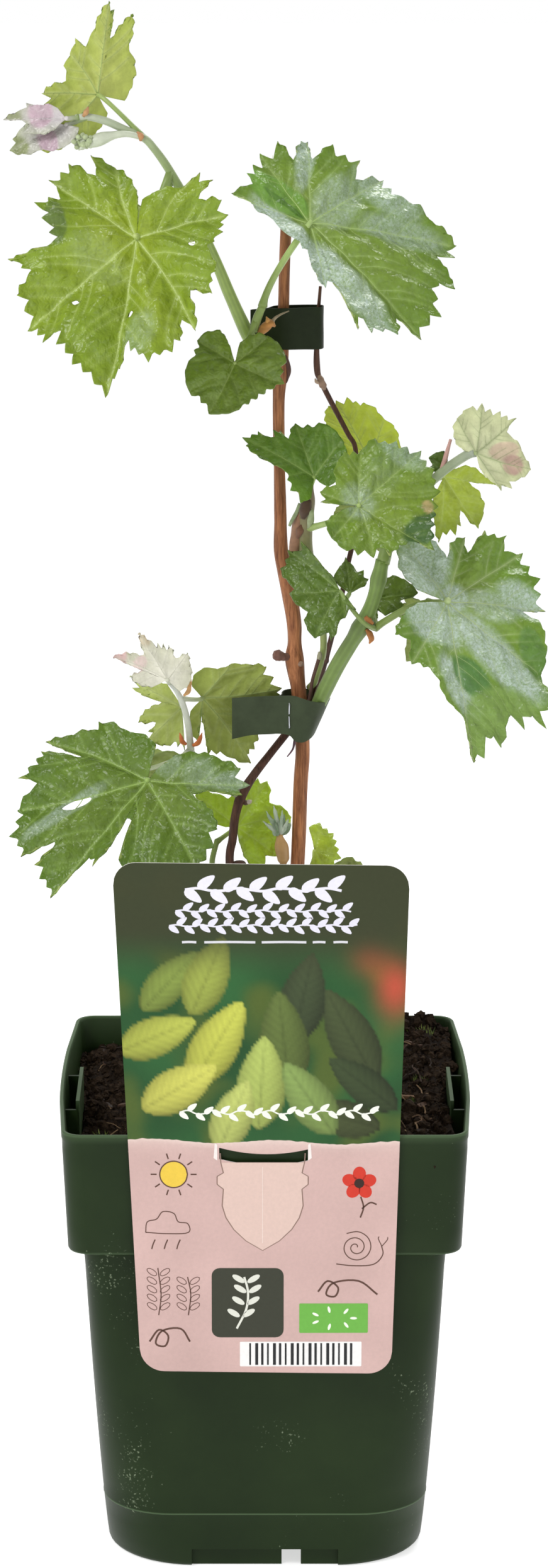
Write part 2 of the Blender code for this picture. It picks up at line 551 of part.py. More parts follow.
FOLIAGE = {
    "top_foliage": {
        "stem": ((-24.7, -20.5, 444.35), (-30.1, -22, 454.1), (-34.3, -23.5, 460.3), (-37.6, -24, 463.7),
                 (-43.9, -25, 466.6), (-49.3, -26, 469.1), (-54.7, -26.5, 470.4), (-58.4, -26.6, 470.2)),
        "radii": (1.5, 1.3, 1.2, 1.2, 1.2, 1.2, 1.1, 0.9),
        "sprigs": (
            (((-37.6, -24.2, 463.7), (-42, -26, 465), (-45.8, -27, 464.9), (-51.2, -28, 463.4),
              (-57.6, -29, 460.7)), (1, 1, 1.2, 2.1, 0.5)),
        ),
        "leaves": (
            leaf(0.42, (-51.7, -24, 476.8), (0.13, 0.18, 0.98), (-0.24, 0.96, -0.14),
                 ((-219, 6.5), (-196, 9.9), (-160, 16.4), (-140, 25.9), (-108, 17), (-97, 17.7),
                  (-74, 10.6), (-42, 15.4), (-30, 18.7), (-14, 19), (-2, 28.7), (3, 26.5), (5, 17.6),
                  (16, 27.2), (28, 17.2), (70, 11.5), (93, 9))),
            leaf(0.12, (-40.1, -37, 435.3), (-0.16, -0.52, -0.84), (-0.19, -0.82, 0.54),
                 ((-178, 8.2), (-173, 15.1), (-155, 25.4), (-144, 30.4), (-140, 24.1), (-131, 32.1),
                  (-119, 35.6), (-115, 29.5), (-102, 33.4), (-93, 29.2), (-75, 25.6), (-70, 39.4),
                  (-60, 34.7), (-53, 40.8), (-41, 44.3), (-30, 44.6), (-29, 39.8), (-24, 43.2), (-14, 47),
                  (-1, 53.1), (1, 46.7), (3, 43.9), (5, 35), (8, 39.1), (16, 44.8), (26, 42.9), (31, 39.9),
                  (36, 32.6), (39, 37.7), (50, 27.1), (56, 34.6), (67, 31.4), (79, 25.9), (92, 28.9),
                  (108, 29.6), (116, 29), (125, 22.5), (129, 29.2), (138, 27.4), (143, 19.5), (162, 14.2),
                  (176, 11.5)), stalk=1.1, cup=0.06),
            leaf(0.96, (-61.4, -28.6, 470.3), (-0.98, 0.1, -0.03), (-0.19, -0.89, 0.42),
                 ((-52, 3.9), (-29, 9), (-23, 13.7), (-13, 15.2), (-4, 20.7), (-2, 14.2), (19, 14),
                  (30, 10), (52, 4.9)), cup=0.1),
            leaf(0.86, (-61.5, -26.6, 468), (-0.91, -0.05, -0.41), (-0.1, -0.94, 0.34),
                 ((-36, 8.4), (-20, 13.9), (-10, 17.1), (-2, 19.2), (25, 10.2), (59, 7.6), (96, 5.6),
                  (141, 4.4)), cup=0.1),
            leaf(0.1, (-36, -6, 433), (-0.3, 0.45, -0.84), BACK_FACE, plain_lobes(23), cup=0.3),
        ),
    },
    "upper_foliage": {
        "stem": ((-3.5, -12.4, 402), (-2.4, -13.8, 406.2), (-0.6, -15, 410.4)),
        "radii": (1.4, 1.4, 1.2),
        "leaves": (
            leaf(0.5, (-9.5, -20, 393), (0.11, -0.52, -0.85), (-0.1, -0.85, 0.51),
                 ((-172, 5.7), (-164, 11.9), (-131, 14.6), (-100, 14.5), (-58, 17.3), (-33, 18.4),
                  (-1, 16), (58, 17.4), (80, 16.5), (122, 13.6), (158, 6.7)), cup=0.1),
            leaf(0.95, (14.7, -16, 437.2), (0.96, 0.19, -0.19), (0.26, -0.76, 0.6),
                 ((-96, 11), (-77, 23.6), (-71, 22), (-70, 34.5), (-69, 41.4), (-65, 38.2), (-64, 43.8),
                  (-53, 46.7), (-45, 40.4), (-42, 50.6), (-31, 50.5), (-20, 44.8), (-17, 50), (-6, 42.2),
                  (-3, 48), (3, 48.8), (12, 39.2), (25, 32.4), (41, 31.3), (52, 22.1), (58, 27.6),
                  (79, 27.6), (91, 22.2), (94, 28.7), (99, 28.3), (109, 21.2), (116, 28.3), (129, 27.6),
                  (141, 25.5), (150, 25.1), (154, 21.6), (166, 26.4), (168, 19.7), (188, 12.4), (247, 10.6)),
                 stalk=1.15, via=(0.6, -16.5, 418.6), cup=0.1),
        ),
    },
    "rear_top_foliage": {
        "stem": ((6.4, 0, 432.2), (7.5, 2.5, 434), (10, 8, 437), (14, 12, 438)),
        "radii": (1.7, 1.4, 1.2, 1),
        "leaves": (
            leaf(0.9, (25, 15, 436), (0.45, 0.45, -0.75), BACK_FACE, plain_lobes(22), cup=0.3),
        ),
    },
    "middle_foliage": {
        "stem": ((37.5, -15, 327.8), (40.2, -12.6, 336.7), (46.2, -11.8, 346.7), (55.6, -16, 357),
                 (63.3, -20, 363.4), (66.2, -22, 364.6)),
        "radii": (2.2, 1.9, 1.6, 1.5, 1.5, 1.3),
        "sprigs": (
            (((56, -16.2, 357.5), (57, -17, 362), (58.6, -19, 368.4)), (1, 0.8, 0.5)),
        ),
        "leaves": (
            leaf(0.35, (34.3, 12, 354.8), (-0.47, -0.06, 0.88), (0.26, 0.94, 0.21),
                 ((-66, 10.5), (-28, 13.9), (-16, 21.3), (-3, 24.6), (5, 25.6), (13, 25.4), (24, 22.5),
                  (44, 17.2), (80, 12.5), (112, 10.5)), cup=0.2),
            leaf(0.55, (57.7, 6, 352), (0.55, -0.15, -0.82), (0.1, -0.96, 0.24),
                 ((-62, 7.7), (-46, 15.1), (-38, 21.2), (-31, 18.8), (-22, 19.3), (-14, 16.9), (-7, 12),
                  (1, 20.2), (15, 17.5), (45, 8.1), (47, 13.5), (49, 19.7), (51, 17.7), (61, 12.3),
                  (73, 10.5), (96, 3.2))),
            leaf(0.97, (66.4, -22, 364.5), (0.13, 0.45, 0.88), (-0.19, 0.89, -0.42),
                 ((-85, 3.3), (-62, 8.7), (-37, 12.5), (-12, 15), (-2, 15.9), (22, 16.2), (40, 17.6),
                  (46, 12.5), (80, 15.4), (96, 18.4), (116, 15.4), (126, 16), (139, 14.4), (145, 10),
                  (157, 4.6))),
            leaf(0.8, (58.1, -12, 358.5), (-0.88, -0.19, 0.43), (0.19, -0.98, -0.04),
                 ((-58, 2.4), (-50, 5.4), (1, 6.7), (31, 6.5), (56, 3.3)), fold=0.3, cup=0.2),
            leaf(0.3, (36, 22, 343), (0.2, 0.45, -0.85), BACK_FACE, plain_lobes(22), cup=0.3),
        ),
    },
    "right_foliage": {
        "stem": ((35.2, -14.8, 306.6), (38.4, -16.8, 309.4), (45.1, -18.4, 313.7), (52.8, -20.5, 316.5)),
        "radii": (1.3, 1.15, 1.1, 1.2),
        "leaves": (
            leaf(0.01, (23.8, -20.5, 320.3), (-0.94, 0.17, 0.3), (-0.03, -0.9, 0.43),
                 ((-44, 4.5), (-35, 9.1), (-33, 20.3), (-31, 19.7), (-26, 18.2), (-20, 21.9), (-2, 20.5),
                  (13, 15.9), (23, 16), (56, 12.5), (61, 15.2), (84, 17.9), (92, 15.4), (101, 17.4),
                  (111, 10.1), (121, 9.4), (148, 8.5), (151, 3.6)), via=(31, -26, 309), fold=0.2),
            leaf(0.95, (58.4, -26, 318.4), (0.51, -0.4, -0.76), (0.3, -0.75, 0.59),
                 ((-102, 12.6), (-93, 19.3), (-82, 25.3), (-71, 21.7), (-60, 27.5), (-45, 28.5),
                  (-25, 39.5), (-23, 54.4), (-19, 53.4), (-15, 47.5), (-12, 50.9), (-4, 42.4), (-1, 48.3),
                  (4, 45.7), (6, 51.7), (11, 47.1), (23, 37.7), (44, 32.3), (57, 24.8), (59, 32.7),
                  (77, 31.8), (96, 31.9), (104, 26.9), (110, 31.3), (123, 27.8), (127, 19.1), (133, 24.3),
                  (147, 19.9), (151, 14), (160, 20), (177, 23.9), (184, 27.9), (202, 21.1), (235, 11.4),
                  (238, 6.1)), stalk=1.2, cup=0.08),
            leaf(0.05, (33.8, -4, 313.8), (0.98, -0.11, 0.17), (-0.18, -0.8, 0.58),
                 ((-102, 9.1), (-73, 7.7), (-62, 4.6), (-55, 7.7), (-18, 11.3), (-11, 9.9), (4, 15.4),
                  (24, 13.1), (58, 6.4), (80, 4.7))),
            leaf(0.55, (60, -2, 306), (0.35, 0.45, -0.82), (0.4, 0.7, 0.55), plain_lobes(27), cup=0.3),
        ),
    },
    "centre_foliage": {
        "stem": ((14.25, 1.25, 283.2), (16.6, 0.2, 286.8), (18.9, -3, 297.4), (18, -6, 309.4),
                 (15.5, -7, 320), (13.1, -7, 329.2), (12.7, -8, 337.6), (13.6, -10, 346.2),
                 (14, -12, 352.6)),
        "radii": (1.1, 1.1, 1.1, 1.2, 1.6, 2.4, 2.5, 2.3, 1.4),
        "leaves": (
            leaf(0.75, (29.6, -33, 350.3), (0.98, 0.19, 0.11), (0.09, -0.81, 0.58),
                 ((-168, 5.6), (-160, 12.8), (-137, 14.8), (-115, 17.6), (-104, 18.7), (-88, 18.8),
                  (-76, 17.3), (-75, 21), (-46, 21.7), (-44, 28), (-10, 25.1), (1, 26.5), (16, 26.9),
                  (33, 27.8), (50, 24.7), (66, 22.9), (76, 18.9), (94, 17.6), (107, 15), (129, 9.6),
                  (151, 12.9), (169, 12.3), (172, 7.1)), stalk=1, cup=0.05),
            leaf(0.96, (15.6, -14, 355.6), (-0.31, 0.41, 0.86), (0, -0.9, 0.43),
                 ((-155, 2.4), (-149, 5.5), (-128, 6.9), (-74, 12.7), (-56, 14.8), (-23, 17.7), (0, 19.1),
                  (15, 14.9), (17, 18.7), (22, 20.3), (29, 18.7), (32, 23.2), (43, 26.1), (48, 23.7),
                  (58, 13), (60, 10.2), (106, 9.2), (136, 10.1), (155, 7.3)), fold=0.25),
            leaf(0.34, (27.2, -10.5, 317.6), (-0.11, 0.64, 0.76), (0.09, -0.75, 0.65),
                 ((-74, 5.2), (-55, 8.2), (-36, 9.1), (-14, 9.9), (-2, 13.9), (9, 10), (39, 7.2), (54, 4.2))),
        ),
    },
    "left_foliage": {
        "stem": ((-23.8, -11.3, 264.3), (-24.7, -13, 273.9), (-26.1, -14, 280.8), (-28.2, -15.5, 286.1),
                 (-30.8, -17.5, 289.9)),
        "radii": (1.2, 1.05, 1, 0.9, 0.8),
        "leaves": (
            leaf(0.97, (-31.2, -18, 290.4), (-0.51, 0.34, 0.79), (0.1, 0.94, -0.34),
                 ((-83, 5.8), (-53, 12.3), (-38, 9.1), (-36, 18.9), (-12, 11.2), (0, 17.5), (9, 13.6),
                  (24, 11.9), (34, 11.3), (52, 7.6), (68, 10.9), (88, 8.9), (124, 7.5), (164, 5.3)),
                 thick=0.8 * MM),
            leaf(0.6, (-26.7, -4, 278.2), (-0.94, 0.04, -0.34), (0.19, 0.89, -0.42),
                 ((-77, 14.5), (-56, 13.2), (-28, 15.5), (-18, 13.6), (-12, 9.9), (-2, 15.1), (33, 7.1),
                  (35, 14.3), (37, 16.1), (39, 17.6), (46, 17.7), (74, 9.7))),
            leaf(0.62, (-20.4, -3, 281.3), (0.96, 0.16, 0.23), (-0.19, 0.98, 0.09),
                 ((-119, 4.5), (-95, 7.7), (-48, 10.5), (-36, 14.6), (-23, 18.1), (-11, 23.2), (-1, 24.3),
                  (8, 26.2), (14, 25.8), (31, 26), (60, 25.9), (65, 25.7), (68, 29), (81, 23.1),
                  (96, 20.6), (98, 11.7), (106, 2.8), (107, 15), (140, 6)), cup=0.08),
            leaf(0.03, (-37.8, -26, 259.8), (-0.62, -0.45, -0.65), (-0.13, -0.75, 0.65),
                 ((-160, 4.8), (-158, 11.5), (-124, 16.8), (-104, 25.6), (-100, 23.6), (-86, 30.4),
                  (-77, 36.9), (-75, 23.1), (-70, 36.2), (-54, 41.6), (-52, 35.4), (-41, 42.9),
                  (-30, 47.7), (-21, 47.3), (-19, 38.4), (-17, 35.9), (-15, 45.2), (-10, 46.8), (-2, 48.7),
                  (0, 36.1), (4, 32), (9, 34.6), (12, 28.2), (14, 15), (21, 15.4), (22, 30), (29, 35.6),
                  (46, 35.2), (65, 38.4), (78, 35), (87, 31.2), (104, 16.5), (112, 22.2), (114, 32),
                  (122, 33.4), (131, 30.5), (144, 22.6), (167, 11.4), (169, 4.7)), stalk=1.1, cup=0.1),
            leaf(0.02, (-42, 10, 257), (-0.35, 0.45, -0.82), BACK_FACE, plain_lobes(25), cup=0.3),
        ),
    },
    "base_left_foliage": {
        "stem": ((-13, -3, 207), (-15.5, -2.5, 215), (-17.3, -1.5, 224.7), (-15.6, 0, 232.8)),
        "radii": (1.2, 1, 0.95, 0.9),
        "leaves": (
            leaf(0.97, (-9.1, 3, 236.4), (0.52, 0.46, 0.72), (0.19, -0.89, 0.42),
                 ((-140, 4.7), (-130, 12.8), (-111, 15.4), (-92, 16.4), (-71, 13.7), (-45, 18.9),
                  (-39, 18.1), (-20, 13.9), (-1, 19.3), (9, 18.1), (23, 11), (60, 11.9), (86, 17.2),
                  (96, 14.6), (127, 4))),
            leaf(0.1, (-27, 24, 214), (-0.5, 0.5, -0.7), BACK_FACE, plain_lobes(24), cup=0.3),
        ),
    },
    "base_right_foliage": {
        "stem": ((9.2, 4.4, 164), (12, 7, 178), (15, 9, 200), (16.4, 10, 222)),
        "radii": (1.3, 1.1, 1, 0.9),
        "leaves": (
            leaf(0.97, (16.4, 10, 226.6), (0.72, 0.47, 0.52), (0.19, -0.84, 0.5),
                 ((-151, 6.7), (-106, 9.3), (-56, 9.4), (1, 9.2), (35, 10.1), (62, 7.8)), stalk=0.7),
            leaf(0.5, (25, 27, 211), (0.6, 0.5, -0.6), (0.2, 0.75, 0.6), plain_lobes(26), cup=0.3),
        ),
    },
    "base_bud": {
        "stem": ((6, -1.5, 224.6), (5.9, -1.9, 227.2), (5.4, -2.5, 231), (4.7, -3, 235.4)),
        "radii": (1, 2, 2.3, 1),
        "leaves": (
            leaf(0.9, (5.1, -3.2, 235), (-0.35, -0.1, 0.93), (-0.1, -0.95, 0.1),
                 ((-140, 2), (-60, 4), (-20, 7), (0, 10), (20, 7), (60, 4), (140, 2)), fold=0.6, stalk=0.6),
            leaf(0.9, (4.9, -2.9, 234.6), (0.02, 0.02, 1), (0.5, -0.8, 0.1),
                 ((-140, 2), (-60, 4), (-20, 6), (0, 8.5), (20, 6), (60, 4), (140, 2)), fold=0.6, stalk=0.6),
        ),
    },
}

# routes of the woody canes and green shoots, with a radius at each point, in mm
LIMBS = {
    "trunk": (
        (TRUNK_FOOT, (8.4, 0, 145.5), (8, 0.1, 150), (6.8, 0.2, 160), TRUNK_TOP),
        (6.6, 5.4, 4.2, 3.7, 3.5),
    ),
    "main_cane": (
        ((4.9, 0.5, 174.8), (8, 0.3, 195), (10.7, 0, 225), (11.6, 0, 251), (12.3, 0, 263), (11.4, 0, 278),
         (10.8, 0, 284), (9.6, 0, 292.8), (9.6, 0, 299.4), (9.2, 0, 307), (6.7, 0, 322), (5.2, 0, 329),
         (5, 0, 340), (4.6, 0, 358), (4.4, 0, 376), (5, 0, 388), (5.8, 0, 400), (6, 0, 411.5),
         (6.6, 0, 430.6)),
        (3.3, 2.5, 2.3, 2.3, 2.3, 2.4, 2.5, 3.1, 2.2, 2.4, 2.6, 2.3, 2.0, 1.8, 1.9, 2.4, 1.9, 1.75, 1.75),
    ),
    "thin_cane": (
        ((-0.8, 0, 168), (-4.8, -1.2, 181), (-9.5, -2.2, 205), (-11.5, -2.5, 225.9), (-10.5, -2.5, 233.8),
         (-9.6, -2.5, 241.7), (-7.4, -2, 248.7), (-3.3, -0.5, 255.1), (1.8, 1.5, 261.4), (7.4, 3.8, 268.1),
         (11.3, 4.7, 272.7)),
        (2, 1.7, 1.5, 1.4, 1.4, 1.4, 1.7, 1.4, 1.3, 1.3, 1.3),
    ),
    "thin_cane_tip": (
        ((12.1, 5.1, 274), (15.2, 5, 280.5), (17.9, 4, 285.8), (21.2, 2.8, 298.2), (24.4, 2.4, 311.8),
         (26.6, 2.4, 323.2), (28.7, 2.4, 333.5), (29.6, 2.6, 345.8), (29.1, 3, 361.1), (26.2, 3, 367.2),
         (18.3, 2.6, 382.6), (16.6, 2, 388.3), (16.7, 1.2, 400.9), (17.6, 0.8, 414.1)),
        (1.2, 1.2, 1.1, 1.05, 1, 1, 0.95, 0.95, 0.9, 0.9, 1, 1.1, 0.7, 0.5),
    ),
    "top_shoot": (
        ((2.5, -2.6, 388.6), (0.6, -4.7, 390.4), (-1.4, -6.7, 393.9), (-5, -9, 399.4), (-10.9, -12.5, 413), (-15.8, -16, 425.3),
         (-24.5, -20.4, 443.9)),
        (1.8, 2.3, 2.4, 2.2, 1.9, 1.7, 1.6),
    ),
    "middle_shoot": (
        ((12.9, -2.1, 284), (17.8, -6.3, 285.6), (24.2, -10, 294.8), (31, -14, 307.5), (34.8, -15, 316.5), (37.3, -15, 326.7)),
        (1.8, 2.5, 2.5, 2.4, 2.2, 2.2),
    ),
    "left_shoot": (
        ((-9.3, -4.4, 249.6), (-14.5, -8, 254), (-20.1, -10, 259), (-23.6, -11.2, 263.4)),
        (1.5, 1.4, 1.3, 1.2),
    ),
}


# ---------------------------------------------------------------- the whole plant

def build():
    clear_scene()
    bark = finish("bark", (0.26, 0.105, 0.045), 0.62)
    dark_bark = finish("dark_bark", (0.085, 0.032, 0.017), 0.6)
    shoot = finish("green_shoot", (0.19, 0.27, 0.07), 0.5)
    foliage = finish("leaf", (0.21, 0.34, 0.06), 0.48)
    plastic = finish("pot_plastic", (0.032, 0.05, 0.025), 0.42)
    compost = finish("compost", (0.018, 0.011, 0.008), 0.95)
    board = finish("card", (0.56, 0.42, 0.38), 0.55)
    tape = finish("tie_tape", (0.045, 0.06, 0.035), 0.5)

    make_pot(plastic)
    make_soil(compost)
    make_card(board)
    woods = {"trunk": bark, "main_cane": bark, "thin_cane": dark_bark, "thin_cane_tip": dark_bark}
    for name, (points, radii) in LIMBS.items():
        sides = 10 if name in ("trunk", "main_cane") else 8
        solid(name, *limb(points, radii, 2, sides), woods.get(name, shoot))
    lower_tie = solid("lower_tie", *band(oval(5.7, 19.2, -9.9, 8.2), 269.2, 281, 0.6), tape)
    tail = [(x * MM, y * MM, z * MM) for x, y, z in ((-10.4, -8.8, 269.6), (10, -8.2, 282.4))]
    combine(lower_tie, box("tail", *tail, tape), "UNION")
    solid("upper_tie", *band(oval(1.9, 18.4, -3.2, 4.2), 394.5, 407.5, 0.6), tape)
    for name, mass in FOLIAGE.items():
        make_foliage(name, mass, foliage)
    for obj in bpy.data.objects:
        if obj.name != "soil":
            obj.data.shade_smooth()
            obj.data.set_sharp_from_angle(angle=math.radians(40))


build()
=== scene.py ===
"""Looks of a young grapevine in a square nursery pot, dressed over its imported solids.

Metres, +Z up, the origin in the middle of the pot's underside, the card label towards -Y.
"""

import math
import random

import bmesh
import bpy
import numpy as np
from mathutils import Matrix, Vector, noise


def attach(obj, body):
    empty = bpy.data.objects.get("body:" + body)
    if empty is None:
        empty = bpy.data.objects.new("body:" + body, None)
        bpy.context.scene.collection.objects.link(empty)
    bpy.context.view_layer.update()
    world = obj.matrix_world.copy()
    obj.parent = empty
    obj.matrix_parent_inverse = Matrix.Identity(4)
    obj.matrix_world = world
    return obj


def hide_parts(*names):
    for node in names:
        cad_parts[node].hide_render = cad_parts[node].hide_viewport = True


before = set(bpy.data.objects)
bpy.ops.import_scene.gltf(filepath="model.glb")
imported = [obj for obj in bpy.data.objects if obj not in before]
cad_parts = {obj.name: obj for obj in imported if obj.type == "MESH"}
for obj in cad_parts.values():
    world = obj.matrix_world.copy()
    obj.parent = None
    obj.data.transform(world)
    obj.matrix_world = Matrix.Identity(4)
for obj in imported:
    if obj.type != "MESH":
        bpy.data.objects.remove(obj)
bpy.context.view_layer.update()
MM = 0.001


# ---------------------------------------------------------------- camera
# A long lens a little above the plant, tilted down so that the whole plant and the compost in its
# pot show. The optical axis runs just left of the frame's middle, so the lens is shifted.

FRAME_HEIGHT = 2490             # pixels, like the two lengths below
FOCAL_LENGTH = 7244.8
SIDE_SHIFT = 14.5
TILT_DOWN = 14.198              # degrees below level
SENSOR = 36                     # mm

lens = bpy.data.cameras.new("camera")
lens.sensor_fit = "VERTICAL"
lens.sensor_height = SENSOR
lens.lens = SENSOR * FOCAL_LENGTH / FRAME_HEIGHT
lens.shift_x = SIDE_SHIFT / FRAME_HEIGHT
lens.clip_start = 0.05
camera = bpy.data.objects.new("camera", lens)
camera.location = (0, -1.44, 0.6159)
camera.rotation_euler = (math.radians(90 - TILT_DOWN), 0, 0)
bpy.context.scene.collection.objects.link(camera)
bpy.context.scene.camera = camera


# ---------------------------------------------------------------- pot
# A square nursery pot of thin dark green plastic, injection moulded in one piece: a tapered body with
# round corners, a straight collar, drain notches under its lower edges, a slot behind each side rim.

def made(name, points, faces, materials, colours=None, smooth=True):
    """A mesh object. colours maps the name of an attribute to one colour a point."""
    mesh = bpy.data.meshes.new(name)
    mesh.from_pydata([tuple(p) for p in points], [], faces)
    for layer, values in (colours or {}).items():
        attribute = mesh.attributes.new(layer, "FLOAT_COLOR", "POINT")
        attribute.data.foreach_set("color", np.array(values, np.float32).ravel())
    for material in materials:
        mesh.materials.append(material)
    if smooth:
        mesh.shade_smooth()
    obj = bpy.data.objects.new(name, mesh)
    bpy.context.scene.collection.objects.link(obj)
    return obj


def baked(obj):
    """Applies an object's modifiers to its mesh."""
    graph = bpy.context.evaluated_depsgraph_get()
    mesh = bpy.data.meshes.new_from_object(obj.evaluated_get(graph))
    obj.modifiers.clear()
    obj.data = mesh
    return obj


def srgb(tone):
    """A linear colour from two-digit hexadecimal red, green and blue."""
    parts = [int(tone[i : i + 2], 16) / 255 for i in (0, 2, 4)]
    return tuple(p / 12.92 if p < 0.04045 else ((p + 0.055) / 1.055) ** 2.4 for p in parts)


def add(tree, kind, *feeds, **settings):
    """A node. Its sockets are fed in order or by name, with a value or with the output to be linked.

    Settings are socket names with _ for a space, or else properties of the node.
    """
    node = tree.nodes.new(kind)
    named = []
    for key, value in settings.items():
        socket = key.replace("_", " ")
        if socket in node.inputs:
            named.append((node.inputs[socket], value))
        else:
            setattr(node, key, value)
    for socket, value in (*named, *zip(node.inputs, feeds)):
        if isinstance(value, bpy.types.NodeSocket):
            tree.links.new(value, socket)
        else:
            socket.default_value = value
    return node


class Finish:
    """A material: its Principled shader, and the textures in the object's own space that feed it."""

    def __init__(self, name, roughness, **settings):
        self.material = bpy.data.materials.new(name)
        self.material.use_nodes = True
        self.tree = self.material.node_tree
        self.shader = self.tree.nodes["Principled BSDF"]
        for key, value in {"Roughness": roughness, **settings}.items():
            self.shader.inputs[key.replace("_", " ")].default_value = value

    def texture(self, kind, **settings):
        """A texture node."""
        place = add(self.tree, "ShaderNodeTexCoord").outputs["Object"]
        return add(self.tree, "ShaderNode" + kind, Vector=place, **settings)

    def noise(self, scale, detail=2, roughness=0.5, distortion=0):
        """Cloudy noise, as a number."""
        settings = {"Detail": detail, "Roughness": roughness, "Distortion": distortion}
        return self.texture("TexNoise", Scale=scale, **settings).outputs["Fac"]

    def tint(self, layer="tint"):
        """The colour that each point of the mesh carries."""
        return add(self.tree, "ShaderNodeAttribute", attribute_name=layer).outputs

    def ramp(self, factor, low, high, start=0, end=1):
        """A colour that goes from low to high while the factor goes from start to end."""
        node = add(self.tree, "ShaderNodeValToRGB", factor)
        for number, (position, colour) in enumerate(((start, low), (end, high))):
            node.color_ramp.elements[number].position = position
            node.color_ramp.elements[number].color = (*colour, 1)
        return node.outputs["Color"]

    def span(self, value, low, high, start=0, end=1):
        """A number that goes from low to high while the value goes from start to end."""
        ends = {"From_Min": start, "From_Max": end, "To_Min": low, "To_Max": high}
        return add(self.tree, "ShaderNodeMapRange", Value=value, **ends).outputs["Result"]

    def maths(self, operation, *terms):
        """A sum or product of numbers."""
        return add(self.tree, "ShaderNodeMath", *terms, operation=operation).outputs[0]

    def scaled(self, colour, gain):
        """A colour made lighter or darker."""
        return add(self.tree, "ShaderNodeVectorMath", colour, operation="SCALE", Scale=gain).outputs[0]

    def mix(self, factor, first, second, blend="MIX"):
        """Two colours blended."""
        mixed = {"Factor": factor, "A": first, "B": second}
        return add(self.tree, "ShaderNodeMix", data_type="RGBA", blend_type=blend, **mixed).outputs["Result"]

    def bump(self, height, strength, distance, **settings):
        """The surface's relief, as a normal."""
        relief = {"Strength": strength, "Distance": distance, "Height": height}
        return add(self.tree, "ShaderNodeBump", **relief, **settings).outputs["Normal"]

    def made_of(self, colour, normal=None):
        """The finished material."""
        self.tree.links.new(colour, self.shader.inputs["Base Color"])
        if normal:
            self.tree.links.new(normal, self.shader.inputs["Normal"])
        return self.material


def outward(obj):
    """Turns the faces of closed shapes outwards."""
    shaped = bmesh.new()
    shaped.from_mesh(obj.data)
    bmesh.ops.recalc_face_normals(shaped, faces=shaped.faces)
    shaped.to_mesh(obj.data)
    shaped.free()


RIM_HALF = 65 * MM              # half the width over the rim
RIM_BOW = 2.4 * MM              # how far the side rims swell outwards in their middle
POT_HEIGHT = 153 * MM
COLLAR_FOOT = 112 * MM          # height of the collar's lower edge
COLLAR_FOOT_HALF = 63.2 * MM
BODY_TOP_HALF = 58.4 * MM
BODY_FOOT_HALF = 51.8 * MM
PARTING = 19 * MM               # height of the mould's parting line
WALL = 1.2 * MM
FLOOR_TOP = 9 * MM
NOTCH_WIDTH, NOTCH_HEIGHT = 48 * MM, 6.2 * MM
POCKET_Y = (-28 * MM, 8 * MM)   # slot behind each side rim, front and rear end
POCKET_GAP = 1.9 * MM
POCKET_DEPTH = 36 * MM


def squared_ring(half_x, half_y, radius, z, bow=0, corner_steps=12):
    """Points round a square with rounded corners. bow swells its left and right sides."""
    points = []
    for quarter, (sx, sy) in enumerate(((1, 1), (-1, 1), (-1, -1), (1, -1))):
        for step in range(corner_steps + 1):
            angle = math.pi / 2 * (quarter + step / corner_steps)
            x = sx * (half_x - radius) + radius * math.cos(angle)
            y = sy * (half_y - radius) + radius * math.sin(angle)
            points.append((x, y, z))
        for part in (0.42, 0.28, 0.14, 0, -0.14, -0.28, -0.42):
            sides = ((part * half_x, half_y), (-half_x, part * half_y))
            sides += ((-part * half_x, -half_y), (half_x, -part * half_y))
            points.append((*sides[quarter], z))
    flat = half_y - radius
    swelled = []
    for x, y, z in points:
        swell = bow * max(0, 1 - (y / flat) ** 2) * min(1, abs(x) / (half_x - radius)) ** 8
        swelled.append((x + math.copysign(swell, x), y, z))
    return swelled


def loft(rings):
    """Points and faces of a stack of rings of the same count, closed at the first and the last."""
    count = len(rings[0])
    points = [point for ring in rings for point in ring]
    faces = [tuple(range(count))]
    for level in range(len(rings) - 1):
        low, high = level * count, (level + 1) * count
        for i in range(count):
            j = (i + 1) % count
            faces.append((low + i, low + j, high + j, high + i))
    last = (len(rings) - 1) * count
    faces.append(tuple(range(last + count - 1, last - 1, -1)))
    return points, faces


def body_half(z):
    """Half the body's width at a height: it widens a little faster near the foot."""
    return BODY_FOOT_HALF + (BODY_TOP_HALF - BODY_FOOT_HALF) * (z / COLLAR_FOOT) ** 0.8


def body_radius(z):
    """The radius of the body's corners, rounder near the foot."""
    return 8 * MM + 20 * MM * (1 - z / COLLAR_FOOT) ** 1.6


def up_collar(z):
    """How far up the collar a height is, from 0 to 1."""
    return max(0, (z - COLLAR_FOOT) / (POT_HEIGHT - COLLAR_FOOT))


def collar_half(z):
    return COLLAR_FOOT_HALF + (RIM_HALF - COLLAR_FOOT_HALF) * up_collar(z)


def combine(obj, points, faces, operation="DIFFERENCE"):
    """Takes a closed shape out of an object, or adds it."""
    tool = made("tool", points, faces, (), smooth=False)
    outward(tool)
    modifier = obj.modifiers.new("cut", "BOOLEAN")
    modifier.operation, modifier.object, modifier.solver = operation, tool, "EXACT"
    baked(obj)
    bpy.data.objects.remove(tool)


def box_shape(low, high):
    """Points and faces of a box between two corners."""
    (x0, y0, z0), (x1, y1, z1) = low, high
    points = [(x, y, z) for x in (x0, x1) for y in (y0, y1) for z in (z0, z1)]
    faces = [(0, 1, 3, 2), (4, 6, 7, 5), (0, 4, 5, 1), (2, 3, 7, 6), (0, 2, 6, 4), (1, 5, 7, 3)]
    return points, faces


def turned(point, quarter_turns):
    """A point turned about the pot's upright middle line."""
    x, y, z = point
    for _ in range(quarter_turns):
        x, y = -y, x
    return x, y, z


